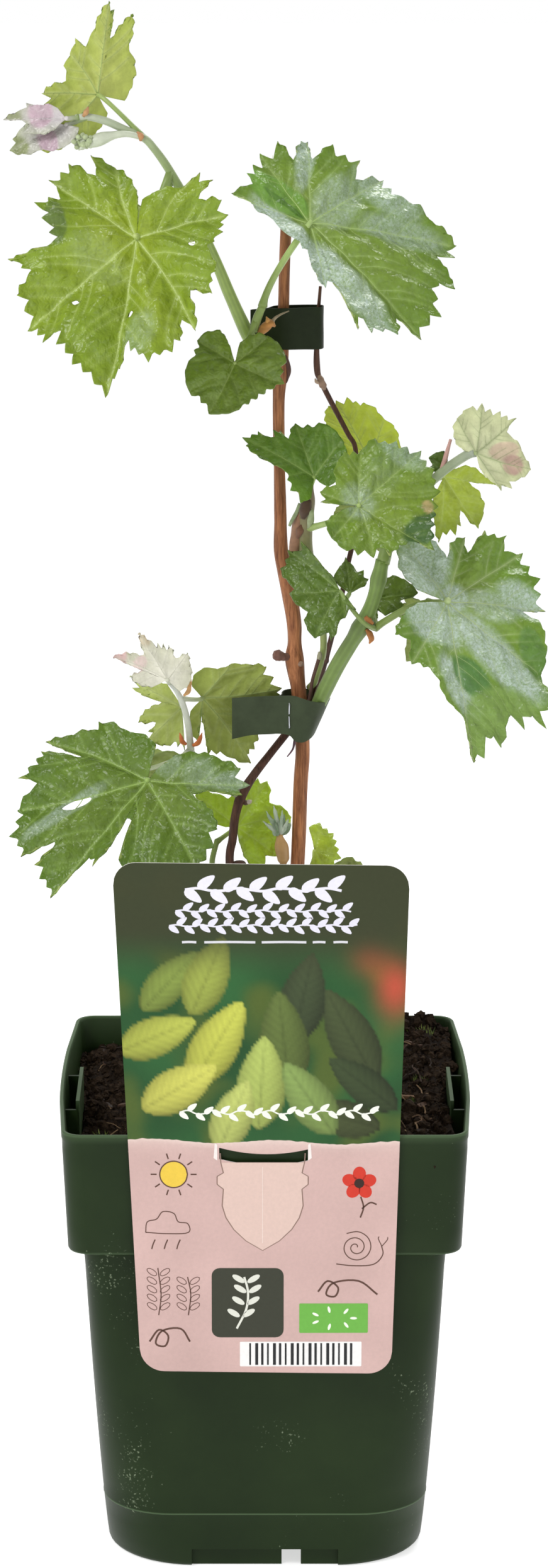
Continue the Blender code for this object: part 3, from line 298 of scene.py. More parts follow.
def pot_finish():
    """Satin green plastic: a fine moulded grain, faint flow streaks, dust in it, and pale scuffs."""
    finish = Finish("pot_plastic", 0.4, Specular_IOR_Level=0.14)
    cloud = finish.noise(22, 5, 0.6)
    green = finish.ramp(cloud, srgb("1b2a12"), srgb("223217"), 0.35, 0.68)
    scuffs = finish.maths("MULTIPLY", finish.noise(1100), finish.noise(34, 3))
    scuffed = finish.mix(finish.span(scuffs, 0, 1, 0.425, 0.52), green, (*srgb("7d8a70"), 1))
    # painted highlight: the tint each point carries makes the rim, the collar's step and the parting line
    # paler green
    edge_lit = finish.mix(finish.tint()["Fac"], scuffed, (*srgb("5c7352"), 1))
    finish.tree.links.new(finish.span(cloud, 0.33, 0.5), finish.shader.inputs["Roughness"])
    return finish.made_of(edge_lit, finish.bump(finish.noise(1500), 0.12, 0.0001))


# each level is (height, half width, corner radius), and how much painted highlight its edge takes there
levels = [
    *((z * MM, body_half(z * MM) - inset * MM, body_radius(z * MM), 0)
      for z, inset in ((0, 0.9), (0.35, 0.45), (0.9, 0.15), (1.8, 0), (7, 0), (13, 0), (18.6, 0))),
    (PARTING, body_half(PARTING) + 0.16 * MM, body_radius(PARTING), 0.75),
    *((z * MM, body_half(z * MM), body_radius(z * MM), 0) for z in (19.4, 26, 36, 50, 64, 78, 92, 104)),
    (COLLAR_FOOT - 2.6 * MM, BODY_TOP_HALF, 8 * MM, 0),
    (COLLAR_FOOT - 1 * MM, BODY_TOP_HALF, 8 * MM, 0),
    (COLLAR_FOOT - 0.3 * MM, BODY_TOP_HALF + 0.6 * MM, 8 * MM, 0),
    (COLLAR_FOOT, COLLAR_FOOT_HALF - 1 * MM, 7.2 * MM, 0.1),
    (COLLAR_FOOT + 0.35 * MM, COLLAR_FOOT_HALF - 0.3 * MM, 7 * MM, 0.35),
    *((COLLAR_FOOT + z * MM, collar_half(COLLAR_FOOT + z * MM), 6.9 * MM, 0) for z in (1.2, 8, 17, 26, 35)),
    (POT_HEIGHT - 3.2 * MM, collar_half(POT_HEIGHT) - 0.35 * MM, 6.5 * MM, 0),
    (POT_HEIGHT - 2.4 * MM, RIM_HALF - 0.05 * MM, 6.5 * MM, 0.05),
    (POT_HEIGHT - 1 * MM, RIM_HALF, 6.5 * MM, 0.2),
    (POT_HEIGHT - 0.3 * MM, RIM_HALF - 0.12 * MM, 6.4 * MM, 0.55),
    (POT_HEIGHT, RIM_HALF - 0.5 * MM, 6 * MM, 0.6),
    # from here down the inside
    (POT_HEIGHT - 0.1 * MM, RIM_HALF - WALL, 5.6 * MM, 0.4),
    (POT_HEIGHT - 1 * MM, RIM_HALF - 1.35 * WALL, 5.5 * MM, 0),
    (POT_HEIGHT - 12 * MM, collar_half(POT_HEIGHT - 12 * MM) - 1.35 * WALL, 5.5 * MM, 0),
    (COLLAR_FOOT + 2 * MM, COLLAR_FOOT_HALF - WALL, 6 * MM, 0),
    (COLLAR_FOOT - 3 * MM, BODY_TOP_HALF - WALL, 7 * MM, 0),
    *((z, body_half(z) - WALL, body_radius(z) - WALL, 0) for z in (45 * MM, FLOOR_TOP)),
]
rings = [squared_ring(half, half, radius, z, RIM_BOW * up_collar(z)) for z, half, radius, _ in levels]
pot = made("pot_shell", *loft(rings), (pot_finish(),), smooth=False)
outward(pot)

# the hollow under the floor leaves a foot ring, cut through by a drain notch in each lower edge
hollow_half = BODY_FOOT_HALF - 5.5 * MM
hollow = [squared_ring(hollow_half, hollow_half, 20 * MM, z) for z in (-2 * MM, FLOOR_TOP - 2.2 * MM)]
combine(pot, *loft(hollow))
for turn in range(4):
    slot_end = turned((NOTCH_WIDTH / 2, -hollow_half + 4 * MM, NOTCH_HEIGHT), turn)
    slot_start = turned((-NOTCH_WIDTH / 2, -RIM_HALF, -MM), turn)
    combine(pot, *box_shape(np.minimum(slot_start, slot_end), np.maximum(slot_start, slot_end)))

# feet that stand in each notch just behind the wall, and the pad in the middle
top = FLOOR_TOP - 1.5 * MM
feet_face = BODY_FOOT_HALF - 1.8 * MM
for turn in range(4):
    for left, right in ((-24, 5.5), (11.8, 24)):
        one = turned((left * MM, -feet_face, 0), turn)
        other = turned((right * MM, -feet_face + 3.4 * MM, top), turn)
        combine(pot, *box_shape(np.minimum(one, other), np.maximum(one, other)), "UNION")
combine(pot, *box_shape((-9 * MM, -9 * MM, 0), (9 * MM, 9 * MM, top)), "UNION")

# slots behind the side rims, where pots lock together in a tray
inside = RIM_HALF - 0.4 * MM - WALL
for side in (-1, 1):
    plate_x = sorted((side * (inside - POCKET_GAP - WALL), side * (inside - POCKET_GAP)))
    low_z, high_z = POT_HEIGHT - POCKET_DEPTH, POT_HEIGHT - 0.5 * MM
    combine(pot, *box_shape((plate_x[0], POCKET_Y[0], low_z), (plate_x[1], POCKET_Y[1], high_z)), "UNION")
    for y in POCKET_Y:
        ends, sides = box_shape((0, y - WALL / 2, low_z), (1, y + WALL / 2, high_z - 3 * MM))
        bow = RIM_BOW * (1 - (y / (RIM_HALF - 7 * MM)) ** 2)
        inner_x = inside - POCKET_GAP - WALL / 2
        ends = [
            (side * (collar_half(z) + bow * up_collar(z) - WALL / 2 if outer else inner_x), y, z)
            for outer, y, z in ends
        ]
        combine(pot, ends, sides, "UNION")

# the painted highlight along the outside's edges goes by height alone, so the tint is laid on the finished
# shell
outside = levels[: [level[0] for level in levels].index(POT_HEIGHT) + 1]
heights, edge_light_shares = [level[0] for level in outside], [level[3] for level in outside]
painted_edge_light = np.interp([vertex.co.z for vertex in pot.data.vertices], heights, edge_light_shares)
tints = pot.data.attributes.new("tint", "FLOAT_COLOR", "POINT")
tints.data.foreach_set("color", np.repeat(painted_edge_light, 4).astype(np.float32))
pot.data.shade_smooth()
pot.data.set_sharp_from_angle(angle=math.radians(35))
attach(pot, "root")
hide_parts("pot")


# ---------------------------------------------------------------- compost
# Dark peat compost that fills the pot: low at the front left, heaped at the rear right, crumbled by
# hand, with pale fibres, bark chips and a few green tufts of moss on it.

SOIL_LEVEL = 143 * MM           # flat spot round the trunk
SOIL_HALF_X, SOIL_HALF_Y = 59.8 * MM, 62.3 * MM
SOIL_TOP_MOST = 154 * MM
TRUNK_FOOT = (8.5, 0, 143.6)    # mm
SURFACE_RINGS = 40              # rings of points from the pot's wall to the trunk


def soil_height(x, y):
    """Height of the compost: low at the front left, heaped towards the rear right."""
    slope = SOIL_LEVEL + 0.075 * x + 0.055 * y
    heap = 4 * MM * math.exp(-((x - 0.045) ** 2 + (y - 0.05) ** 2) / 0.0004)
    lumps = 1.1 * MM * (math.sin(x * 190 + 1) * math.cos(y * 230) + math.sin(x * 90 - y * 120))
    near = min(1, math.hypot(x - TRUNK_FOOT[0] * MM, y) / (24 * MM))
    ease = near * near * (3 - 2 * near)
    return min(SOIL_TOP_MOST, SOIL_LEVEL + ease * (slope + heap + lumps - SOIL_LEVEL))


def clods(x, y):
    """Small lumps on top of the compost's slope."""
    spot = Vector((x, y, 0))
    coarse = noise.noise(spot * 100) * 4.4 + noise.noise(spot * 240 + Vector((5, 2, 8))) * 2.6
    return (coarse + noise.noise(spot * 650) * 0.7 - 0.6) * MM


def filled_out(y):
    """How much wider the compost lies in front of and behind the slots of the side rims."""
    clear = min(1, max(0, (POCKET_Y[0] - y) / MM - 1.5, (y - POCKET_Y[1]) / MM - 1.5) / 3)
    return 1 + 0.052 * clear


def peat_finish(name, dark, light, pitch):
    """Damp crumbly peat: brown and near-black grains with a fibrous break-up."""
    finish = Finish(name, 0.93, Specular_IOR_Level=0.1)
    grains = finish.noise(pitch, 8, 0.75, 0.6)
    cells = finish.texture("TexVoronoi", Scale=pitch * 2.4).outputs["Distance"]
    coarse = finish.bump(grains, 1, 0.0009)
    finer = finish.bump(cells, 0.8, 0.0004, Normal=coarse)
    return finish.made_of(finish.ramp(grains, srgb(dark), srgb(light), 0.36, 0.7), finer)


def scatter_tree(crumb_finish):
    """Crumbs strewn over a surface: rough little balls of several sizes, each turned its own way."""
    tree = bpy.data.node_groups.new("crumbs", "GeometryNodeTree")
    tree.interface.new_socket("Ground", in_out="INPUT", socket_type="NodeSocketGeometry")
    for label in ("Density", "Least", "Most"):
        tree.interface.new_socket(label, in_out="INPUT", socket_type="NodeSocketFloat")
    for label in ("Detail", "Seed"):
        tree.interface.new_socket(label, in_out="INPUT", socket_type="NodeSocketInt")
    tree.interface.new_socket("Crumbs", in_out="OUTPUT", socket_type="NodeSocketGeometry")
    given = tree.nodes.new("NodeGroupInput").outputs
    settings = {"Mesh": given["Ground"], "Density": given["Density"], "Seed": given["Seed"]}
    points = add(tree, "GeometryNodeDistributePointsOnFaces", **settings)
    ball = add(tree, "GeometryNodeMeshIcoSphere", Subdivisions=given["Detail"])
    bumps = add(tree, "ShaderNodeTexNoise", Scale=1.6, Detail=2).outputs["Color"]
    centred = add(tree, "ShaderNodeVectorMath", bumps, (0.5, 0.5, 0.5), operation="SUBTRACT").outputs[0]
    strong = add(tree, "ShaderNodeVectorMath", centred, operation="SCALE", Scale=1.9).outputs[0]
    shape = add(tree, "GeometryNodeSetPosition", Geometry=ball.outputs["Mesh"], Offset=strong)
    sizes = {"Min": given["Least"], "Max": given["Most"], "Seed": given["Seed"]}
    size = add(tree, "FunctionNodeRandomValue", data_type="FLOAT", **sizes)
    skews = {"Min": (0.6, 0.6, 0.5), "Max": (1.35, 1.0, 0.95)}
    skew = add(tree, "FunctionNodeRandomValue", data_type="FLOAT_VECTOR", **skews)
    scaled = add(tree, "ShaderNodeVectorMath", skew.outputs[0], operation="SCALE", Scale=size.outputs[1])
    turns = {"Max": (6.28, 6.28, 6.28), "Seed": given["Seed"]}
    turn = add(tree, "FunctionNodeRandomValue", data_type="FLOAT_VECTOR", **turns)
    copies = add(
        tree, "GeometryNodeInstanceOnPoints",
        Points=points.outputs["Points"], Instance=shape.outputs["Geometry"],
        Rotation=turn.outputs[0], Scale=scaled.outputs[0],
    )
    real = add(tree, "GeometryNodeRealizeInstances", copies.outputs["Instances"])
    paint = add(tree, "GeometryNodeSetMaterial", Geometry=real.outputs["Geometry"], Material=crumb_finish)
    add(tree, "NodeGroupOutput", paint.outputs["Geometry"])
    return tree


def strewn(name, ground, tree, settings):
    """A plain mesh of the crumbs that a scatter tree strews over the ground mesh."""
    obj = bpy.data.objects.new(name, ground)
    bpy.context.scene.collection.objects.link(obj)
    modifier = obj.modifiers.new("crumbs", "NODES")
    modifier.node_group = tree
    for item in tree.interface.items_tree:
        if item.in_out == "INPUT" and item.name in settings:
            modifier[item.identifier] = settings[item.name]
    obj.update_tag()
    return baked(obj)


peat = peat_finish("peat", "130e0b", "33281f", 260)
under = FLOOR_TOP + 0.35 * MM
fill = [
    squared_ring(half * MM, half * MM, radius * MM, z)
    for z, half, radius in ((under, 50, 22), (45 * MM, 52.6, 18), (COLLAR_FOOT - 3 * MM, 55.6, 9))
]
fill += [squared_ring(SOIL_HALF_X, 61.4 * MM, 9 * MM, 118 * MM)]
buried = len(fill)
for part in range(SURFACE_RINGS):
    scale = 1 - part / SURFACE_RINGS
    middle = TRUNK_FOOT[0] * MM * (1 - scale)
    ring = squared_ring(SOIL_HALF_X * scale, SOIL_HALF_Y * scale, 9 * MM * scale, 0)
    spots = [(x * filled_out(y) + middle, y) for x, y, _ in ring]
    fill.append([(x, y, min(soil_height(x, y) + clods(x, y), SOIL_TOP_MOST)) for x, y in spots])
soil = made("compost_fill", *loft(fill), (peat,))
outward(soil)

# crumbs lie on the top alone, which is copied off as an open sheet for them to stand on
sheet = bpy.data.meshes.new("crumb_ground")
count = len(fill[0])
sheet_faces = [
    (start + i, start + (i + 1) % count, start + count + (i + 1) % count, start + count + i)
    for start in range(0, count * (SURFACE_RINGS - 1), count) for i in range(count)
]
sheet.from_pydata([p for ring in fill[buried:] for p in ring], [], sheet_faces)
tree = scatter_tree(peat_finish("crumb", "18110d", "463729", 420))
coarse = {"Density": 75000.0, "Least": 0.6 * MM, "Most": 2.7 * MM, "Detail": 2, "Seed": 4}
fine = {"Density": 380000.0, "Least": 0.25 * MM, "Most": 0.9 * MM, "Detail": 1, "Seed": 9}
crumbs = [strewn("compost_crumbs", sheet, tree, coarse), strewn("compost_grains", sheet.copy(), tree, fine)]


def smooth_path(points, per_span):
    """A Catmull-Rom curve through the points (mm), in metres."""
    knots = np.array(points, float) * MM
    knots = np.vstack([2 * knots[0] - knots[1], knots, 2 * knots[-1] - knots[-2]])
    path = []
    for i in range(1, len(knots) - 2):
        a, b, c, d = knots[i - 1 : i + 3]
        for step in range(per_span):
            t = step / per_span
            square = (2 * a - 5 * b + 4 * c - d) * t**2
            cube = (3 * b - a - 3 * c + d) * t**3
            path.append(0.5 * (2 * b + (c - a) * t + square + cube))
    path.append(knots[-2])
    return np.array(path)


def eased(values, per_span):
    """One value for each point of a path, eased between the values given for its knots."""
    at = np.arange((len(values) - 1) * per_span + 1) / per_span
    low = np.minimum(at.astype(int), len(values) - 2)
    t = at - low
    ease = t * t * (3 - 2 * t)
    values = np.array(values, float)
    return values[low] * (1 - ease) + values[low + 1] * ease


def tube(path, radii, sides, relief=None):
    """Points and faces of a round limb along a path, with flat ends. relief changes its radii."""
    across = np.array((1.0, 0, 0))
    points, faces = [], []
    for i, centre in enumerate(path):
        ahead = path[min(i + 1, len(path) - 1)] - path[max(i - 1, 0)]
        ahead /= np.linalg.norm(ahead)
        across = across - ahead * across.dot(ahead)
        across /= np.linalg.norm(across)
        other = np.cross(ahead, across)
        for k in range(sides):
            turn = 2 * math.pi * k / sides
            reach = radii[i] * (relief(i, turn) if relief else 1)
            points.append(centre + reach * (math.cos(turn) * across + math.sin(turn) * other))
    for i in range(len(path) - 1):
        a = i * sides
        for k in range(sides):
            n = (k + 1) % sides
            faces.append((a + k, a + n, a + sides + n, a + sides + k))
    faces.append(tuple(range(sides - 1, -1, -1)))
    faces.append(tuple(range(len(points) - sides, len(points))))
    return points, faces


class Heap:
    """Points, faces and a colour a point, gathered from many shapes."""

    def __init__(self):
        self.points, self.faces, self.tints = [], [], []

    def take(self, points, faces, tint):
        start = len(self.points)
        self.points += [tuple(p) for p in points]
        self.faces += [tuple(start + i for i in face) for face in faces]
        tint = np.array(tint, float)
        self.tints += list(np.broadcast_to(tint, (len(points), 4)) if tint.ndim == 1 else tint)

    def shape(self, name, material, smooth=True):
        """One mesh of all of it, with its closed shapes turned outwards."""
        obj = made(name, self.points, self.faces, (material,), {"tint": self.tints}, smooth)
        outward(obj)
        return obj


def tinted_finish(name, roughness, pitch):
    """A finish whose colour each point carries, broken up by fine noise."""
    finish = Finish(name, roughness)
    speckle = finish.noise(pitch, 5, 0.65)
    colour = finish.mix(1, finish.tint()["Color"], finish.span(speckle, 0.62, 1.4), "MULTIPLY")
    return finish.made_of(colour, finish.bump(speckle, 0.5, 0.0002))


# pale and dark fibres lie about on the crumbs, with flat chips of bark
dice = random.Random(31)
litter = Heap()
for _ in range(260):
    x, y = dice.uniform(-0.056, 0.056), dice.uniform(-0.058, 0.058)
    turn, length = dice.uniform(0, 6.28), dice.uniform(4, 13)
    ground = [Vector((x, y, 0)) / MM]
    for _ in range(3):
        turn += dice.uniform(-0.7, 0.7)
        ground.append(ground[-1] + Vector((math.cos(turn), math.sin(turn), 0)) * length / 3)
    inside_pot = all(abs(p.x) < 56.5 and abs(p.y) < 59 for p in ground)
    if not inside_pot:
        continue
    for p in ground:
        p.z = min(soil_height(p.x * MM, p.y * MM) / MM + dice.uniform(-0.6, 1.9), 156)
    path = smooth_path([tuple(p) for p in ground], 4)
    thick = dice.uniform(0.12, 0.38) * MM
    points, faces = tube(path, [thick] * len(path), 4)
    tone = dice.choice(("3b2a1e", "5d4632", "7d6449", "2a1d15", "8e7a5f"))
    litter.take(points, faces, (*srgb(tone), 1))
for _ in range(90):
    x, y = dice.uniform(-0.053, 0.053), dice.uniform(-0.056, 0.056)
    place = Vector((x, y, soil_height(x, y) + dice.uniform(-0.4, 0.9) * MM))
    size = Vector((dice.uniform(1.2, 3.6), dice.uniform(0.7, 1.6), dice.uniform(0.25, 0.5))) * MM
    turn = Matrix.Rotation(dice.uniform(0, 6.28), 3, "Z") @ Matrix.Rotation(dice.uniform(-0.7, 0.7), 3, "X")
    points, faces = box_shape(-size, size)
    tone = dice.choice(("4a3426", "63482f", "2b1e16"))
    litter.take([place + turn @ Vector(p) for p in points], faces, (*srgb(tone), 1))
fibres = litter.shape("compost_fibres", tinted_finish("fibre", 0.85, 900), smooth=False)

# moss: tufts of tiny pointed leaves at the front left and along the rear right
tufts = Heap()
for centre_x, centre_y, spread, count in (
    (-50, -34, 4, 34), (-53, -20, 3, 22), (51, 8, 4, 26), (54, 46, 5, 40), (49, -10, 3, 18), (30, 52, 4, 22),
    (-40, 40, 4, 20), (-20, 50, 3, 16),
):
    for _ in range(count):
        x = (centre_x + dice.gauss(0, spread * 0.5)) * MM
        y = (centre_y + dice.gauss(0, spread * 0.5)) * MM
        x, y = max(-0.057, min(0.057, x)), max(-0.059, min(0.059, y))
        foot = Vector((x, y, soil_height(x, y) - 0.4 * MM))
        lean = Vector((dice.gauss(0, 0.5), dice.gauss(0, 0.5), 1)).normalized()
        across = lean.orthogonal().normalized() * dice.uniform(0.22, 0.45) * MM
        side = lean.cross(across)
        tip = foot + lean * dice.uniform(1.4, 3.4) * MM
        waist = foot + lean * MM
        points = [foot, waist + across, waist - across, waist + side * 0.4, tip]
        faces = ((0, 1, 3), (0, 3, 2), (0, 2, 1), (4, 3, 1), (4, 2, 3), (4, 1, 2))
        tone = dice.choice(("4c5a22", "6c7c31", "3a471b", "8a9a4a"))
        tufts.take(points, faces, (*srgb(tone), 1))
moss = tufts.shape("compost_moss", tinted_finish("moss", 0.75, 1500), smooth=False)
for piece in (soil, *crumbs, fibres, moss):
    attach(piece, "root")
    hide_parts("soil")


# ---------------------------------------------------------------- label card
# A glossy printed card that stands in front of the pot, hooked over its rim by a strap at the back. It
# is cut from thin white board with a slot and a shield-shaped tongue, and printed on its front only.

CARD_TOP, CARD_FOOT = 242.5, 73.5               # mm, like every other size of the card
CARD_TOP_HALF, CARD_FOOT_HALF = 46.6, 40.2
CARD_CORNER = 7.5
CARD_SHIFT = (0.4, -1.2)                        # how far its foot and its top stand to the right
CARD_SLOPE = 0.012
CARD_FRONT = -66.36
BOARD_THICK = 0.5
SLOT_HALF, SLOT_LOW, SLOT_HIGH = 14.2, 145.4, 149.2
SLOT_DIP = 1.9                                  # how far the slot curves down in its middle
TORN_EDGE = 151.4                               # where the picture ends in a torn paper edge


def on_card(u, z):
    """A point of the card: u runs from -1 at its left edge to 1 at its right edge."""
    up = (z - CARD_FOOT) / (CARD_TOP - CARD_FOOT)
    half = CARD_FOOT_HALF + (CARD_TOP_HALF - CARD_FOOT_HALF) * up
    rise = CARD_CORNER - min(CARD_TOP - z, z - CARD_FOOT, CARD_CORNER)
    half -= CARD_CORNER - math.sqrt(max(0, CARD_CORNER**2 - rise**2))
    x = u * half + CARD_SHIFT[0] + (CARD_SHIFT[1] - CARD_SHIFT[0]) * up
    tear = math.exp(-(((z - TORN_EDGE) / 5) ** 2)) * (z > SLOT_HIGH)
    wave = 0.6 * math.sin(x * 0.16 + 1) + 0.35 * noise.noise(Vector((x * 0.45, 0, 3)))
    near_slot = min(1, max(0, (TORN_EDGE - 0.3 - z) / 1.5)) * min(1, max(0, (z - 128) / (SLOT_LOW - 128)))
    dip = SLOT_DIP * max(0, 1 - (x / SLOT_HALF) ** 2) * near_slot
    return x, z - CARD_SLOPE * x + wave * tear - dip


def card_face(x, proud=0):
    """How far forward the card's front lies: it bends back a little at its sides."""
    return CARD_FRONT + 0.25 * (x / CARD_TOP_HALF) ** 2 - proud


# printed leaves: middle across and up, length, width, lean in degrees, and tone
PRINTED_LEAVES = (
    (27, 187, 34, 15, -28, "404b2c"), (12, 199, 30, 15, 12, "3c482d"), (31, 171, 27, 12, -52, "374428"),
    (24, 160, 26, 12, -74, "424b2b"), (6, 185, 33, 16, -6, "5a6a34"), (-30, 204, 26, 12, 42, "7f9142"),
    (-18, 206, 28, 14, 22, "98a449"), (-34, 186, 27, 13, 66, "a9b04c"), (-15, 184, 32, 15, 30, "b7bb4f"),
    (-1, 171, 31, 16, 4, "a3b25c"), (14, 166, 28, 14, -34, "7d9450"), (-27, 169, 28, 14, 58, "c0c05a"),
    (-10, 160, 25, 13, 22, "b1bb66"),
)


def smooth_step(low, high, value):
    t = min(1, max(0, (value - low) / (high - low)))
    return t * t * (3 - 2 * t)


def toward(tone, shade, share):
    """A colour moved part of the way to another."""
    return tone + (np.array(srgb(shade)) - tone) * share


def picture(x, z):
    """Printed colour above the tear: pointed leaves before a blurred garden, under an olive band."""
    spot = Vector((x * 0.045, z * 0.045, 2))
    tone = np.array(srgb("27542b")) * (1 + 0.5 * noise.noise(spot))
    tone = toward(tone, "4f6128", smooth_step(-0.1, 0.6, noise.noise(spot * 1.7)))
    ember = math.exp(-(((x - 41) / 5.5) ** 2) - (((z - 203) / 9) ** 2)) + 0.5 * math.exp(
        -(((x - 33) / 6) ** 2) - (((z - 213) / 6) ** 2)
    )
    tone = toward(tone, "b9513a", min(1, ember))
    for middle_x, middle_z, length, width, lean, shade in PRINTED_LEAVES:
        turn = math.radians(lean)
        along = (x - middle_x) * math.sin(turn) + (z - middle_z) * math.cos(turn)
        aside = (x - middle_x) * math.cos(turn) - (z - middle_z) * math.sin(turn)
        part = 2 * along / length
        if abs(part) >= 1:
            continue
        reach = width / 2 * (1 - part * part) ** 0.72 * (1 - 0.25 * part)
        inside = smooth_step(1.0, 0.93, abs(aside) / max(reach, 0.01))
        light = 1.08 - 0.5 * (aside / max(reach, 0.01)) ** 2 + 0.22 * part - 0.18 * aside / width
        light -= 0.25 * math.exp(-((aside / 0.5) ** 2))
        ribs = 0.06 * math.cos((along - abs(aside)) * 2.1)
        tone = tone + (np.array(srgb(shade)) * (light + ribs) - tone) * inside
    band = smooth_step(203, 222, z)
    return tone + (np.array(srgb("393c25")) - tone) * band * 0.94


def kraft(x, z):
    """Printed colour of the lower part: pinkish paper, paler towards the torn edge."""
    tone = np.array(srgb("ceaea8")) * (1 + 0.1 * noise.noise(Vector((x * 0.06, z * 0.06, 9))))
    return toward(tone, "e4cdc4", math.exp(-((TORN_EDGE - z) / 1.3)))


def printed_finish():
    """Glossy ink on board: the tint carried by each point, a faint paper grain, and slight waviness."""
    finish = Finish("printed_card", 0.36, Specular_IOR_Level=0.2)
    gain = finish.span(finish.noise(900, 4, 0.7), 0.9, 1.1)
    colour = finish.mix(1, finish.tint()["Color"], gain, "MULTIPLY")
    return finish.made_of(colour, finish.bump(finish.noise(30, 1), 0.1, 0.001))


def board_finish():
    """The uncoated white board at the card's edges, back and strap."""
    finish = Finish("white_board", 0.7)
    fibre = finish.noise(1100, 5, 0.7)
    return finish.made_of(finish.ramp(fibre, srgb("dcd8d0"), srgb("f4f2ee")), finish.bump(fibre, 0.3, 0.0001))


slot_u = SLOT_HALF / (CARD_FOOT_HALF + (CARD_TOP_HALF - CARD_FOOT_HALF) * 0.43)
across = sorted({*np.round(np.linspace(-1, 1, 113), 4), -slot_u, slot_u})
corner_steps = (0, 0.1, 0.35, 0.8, 1.5, 2.4, 3.6, 5.2)
rows = [CARD_TOP - step for step in corner_steps]
rows += list(np.linspace(CARD_TOP - CARD_CORNER, TORN_EDGE + 0.09, 98))
rows += [TORN_EDGE - 0.09, 151, 150.4, 149.8, SLOT_HIGH, 148.2, 147.2, 146.2, SLOT_LOW]
rows += list(np.linspace(144, CARD_FOOT + CARD_CORNER, 22))
rows += [CARD_FOOT + step for step in reversed(corner_steps)]
card_points, card_tones = [], []
for z in rows:
    for u in across:
        x, height = on_card(u, z)
        card_points.append((x * MM, card_face(x) * MM, height * MM))
        card_tones.append((*(picture(x, z) if z > TORN_EDGE else kraft(x, z)).clip(0, 1), 1))
wide = len(across)
card_faces = []
for level in range(len(rows) - 1):
    in_slot_row = SLOT_LOW < (rows[level] + rows[level + 1]) / 2 < SLOT_HIGH
    for i in range(wide - 1):
        in_slot = in_slot_row and abs(across[i] + across[i + 1]) / 2 < slot_u
        if not in_slot:
            a = level * wide + i
            card_faces.append((a, a + wide, a + wide + 1, a + 1))
printed, board = printed_finish(), board_finish()
card = made("label_card_sheet", card_points, card_faces, (printed, board), {"tint": card_tones})
stiff = card.modifiers.new("stiff", "SOLIDIFY")
stiff.thickness, stiff.offset = BOARD_THICK * MM, -1
stiff.material_offset, stiff.material_offset_rim = 1, 1
baked(card)
card.data.set_sharp_from_angle(angle=math.radians(40))

# the strap behind it goes over the rim and down inside
over, rim_inside = (POT_HEIGHT + 0.35 * MM) / MM, -(COLLAR_FOOT_HALF - WALL) / MM + 0.35
behind, thick, tail = CARD_FRONT + 0.35, 0.8, over - 11
profile = [(behind, over), (rim_inside, over), (rim_inside, tail), (rim_inside + thick, tail)]
profile += [(rim_inside + thick, over + thick), (behind, over + thick)]
strap_points = [(x * MM, y * MM, z * MM) for x in (-12.5, 12.5) for y, z in profile]
strap_faces = [tuple(range(6)), tuple(range(11, 5, -1))]
strap_faces += [(i, (i + 1) % 6, 6 + (i + 1) % 6, 6 + i) for i in range(6)]
strap = made("label_card_strap", strap_points, strap_faces, (board,), smooth=False)
outward(strap)

printing = Heap()
SUNK = -0.05                                    # how deep the shapes of the print reach into the card


def on_front(outline, depth):
    """Points of a flat outline (mm) on the card's front, this far proud of it."""
    return [(x * MM, card_face(x, depth) * MM, z * MM) for x, z in outline]


def plate(outline, tone, proud):
    """A shape of the print: a closed outline (mm), laid on the card and standing a hair proud of it."""
    count = len(outline)
    faces = [tuple(range(count)), tuple(count + i for i in reversed(range(count)))]
    faces += [((i + 1) % count, i, count + i, count + (i + 1) % count) for i in range(count)]
    printing.take(on_front(outline, SUNK) + on_front(outline, proud), faces, (*srgb(tone), 1))


def stroke(route, width, tone, proud=0.03, close=False):
    """A drawn line: a ribbon of even width along a smooth route (mm)."""
    knots = [(x, 0, z) for x, z in route]
    path = smooth_path(knots + knots[:1] if close else knots, 5)[:, (0, 2)] / MM
    ahead = np.gradient(path, axis=0)
    ahead /= np.maximum(np.linalg.norm(ahead, axis=1), 1e-6)[:, None]
    side = np.stack([-ahead[:, 1], ahead[:, 0]], 1) * width / 2
    count = len(path)
    edges = (path - side, path + side)
    points = [p for depth in (SUNK, proud) for edge in edges for p in on_front(edge, depth)]
    end = (0, count, 3 * count, 2 * count)
    sides = tuple(zip(end, end[1:] + end[:1]))
    faces = [(a + i, b + i, b + i + 1, a + i + 1) for i in range(count - 1) for a, b in sides]
    faces += [end[::-1], tuple(corner + count - 1 for corner in end)]
    printing.take(points, faces, (*srgb(tone), 1))


def oval_shape(x, z, half_x, half_z, lean=0, count=20, taper=0):
    """An oval round a middle (mm). taper makes its far end more pointed."""
    c, s = math.cos(math.radians(lean)), math.sin(math.radians(lean))
    spots = []
    for step in range(count):
        angle = 2 * math.pi * step / count
        a, b = half_x * math.cos(angle), half_z * math.sin(angle) * (1 - taper * math.cos(angle))
        spots.append((x + a * c - b * s, z + a * s + b * c))
    return spots


def rounded_box(left, low, right, high, radius):
    """The outline of a rectangle with round corners (mm)."""
    x0, x1, z0, z1 = left + radius, right - radius, low + radius, high - radius
    spots = []
    for quarter, (x, z) in enumerate(((x1, z1), (x0, z1), (x0, z0), (x1, z0))):
        for step in range(6):
            angle = math.pi / 2 * (quarter + step / 5)
            spots.append((x + radius * math.cos(angle), z + radius * math.sin(angle)))
    return spots


def garland(left, right, z, reach, count, tone, swing=0.8):
    """A printed vine: a waving line with pointed leaves on both sides in turn."""
    run = np.linspace(left, right, count + 1)
    route = [(x, z + swing * math.sin(i * 1.9)) for i, x in enumerate(run)]
    stroke(route, reach * 0.13, tone)
    for i, (x, height) in enumerate(route[:-1]):
        lean = 38 if i % 2 else -38
        x += reach * 0.5 * math.cos(math.radians(lean))
        height += reach * 0.5 * math.sin(math.radians(lean))
        plate(oval_shape(x, height, reach * 0.5, reach * 0.24, lean, 16, 0.35), tone, 0.035)


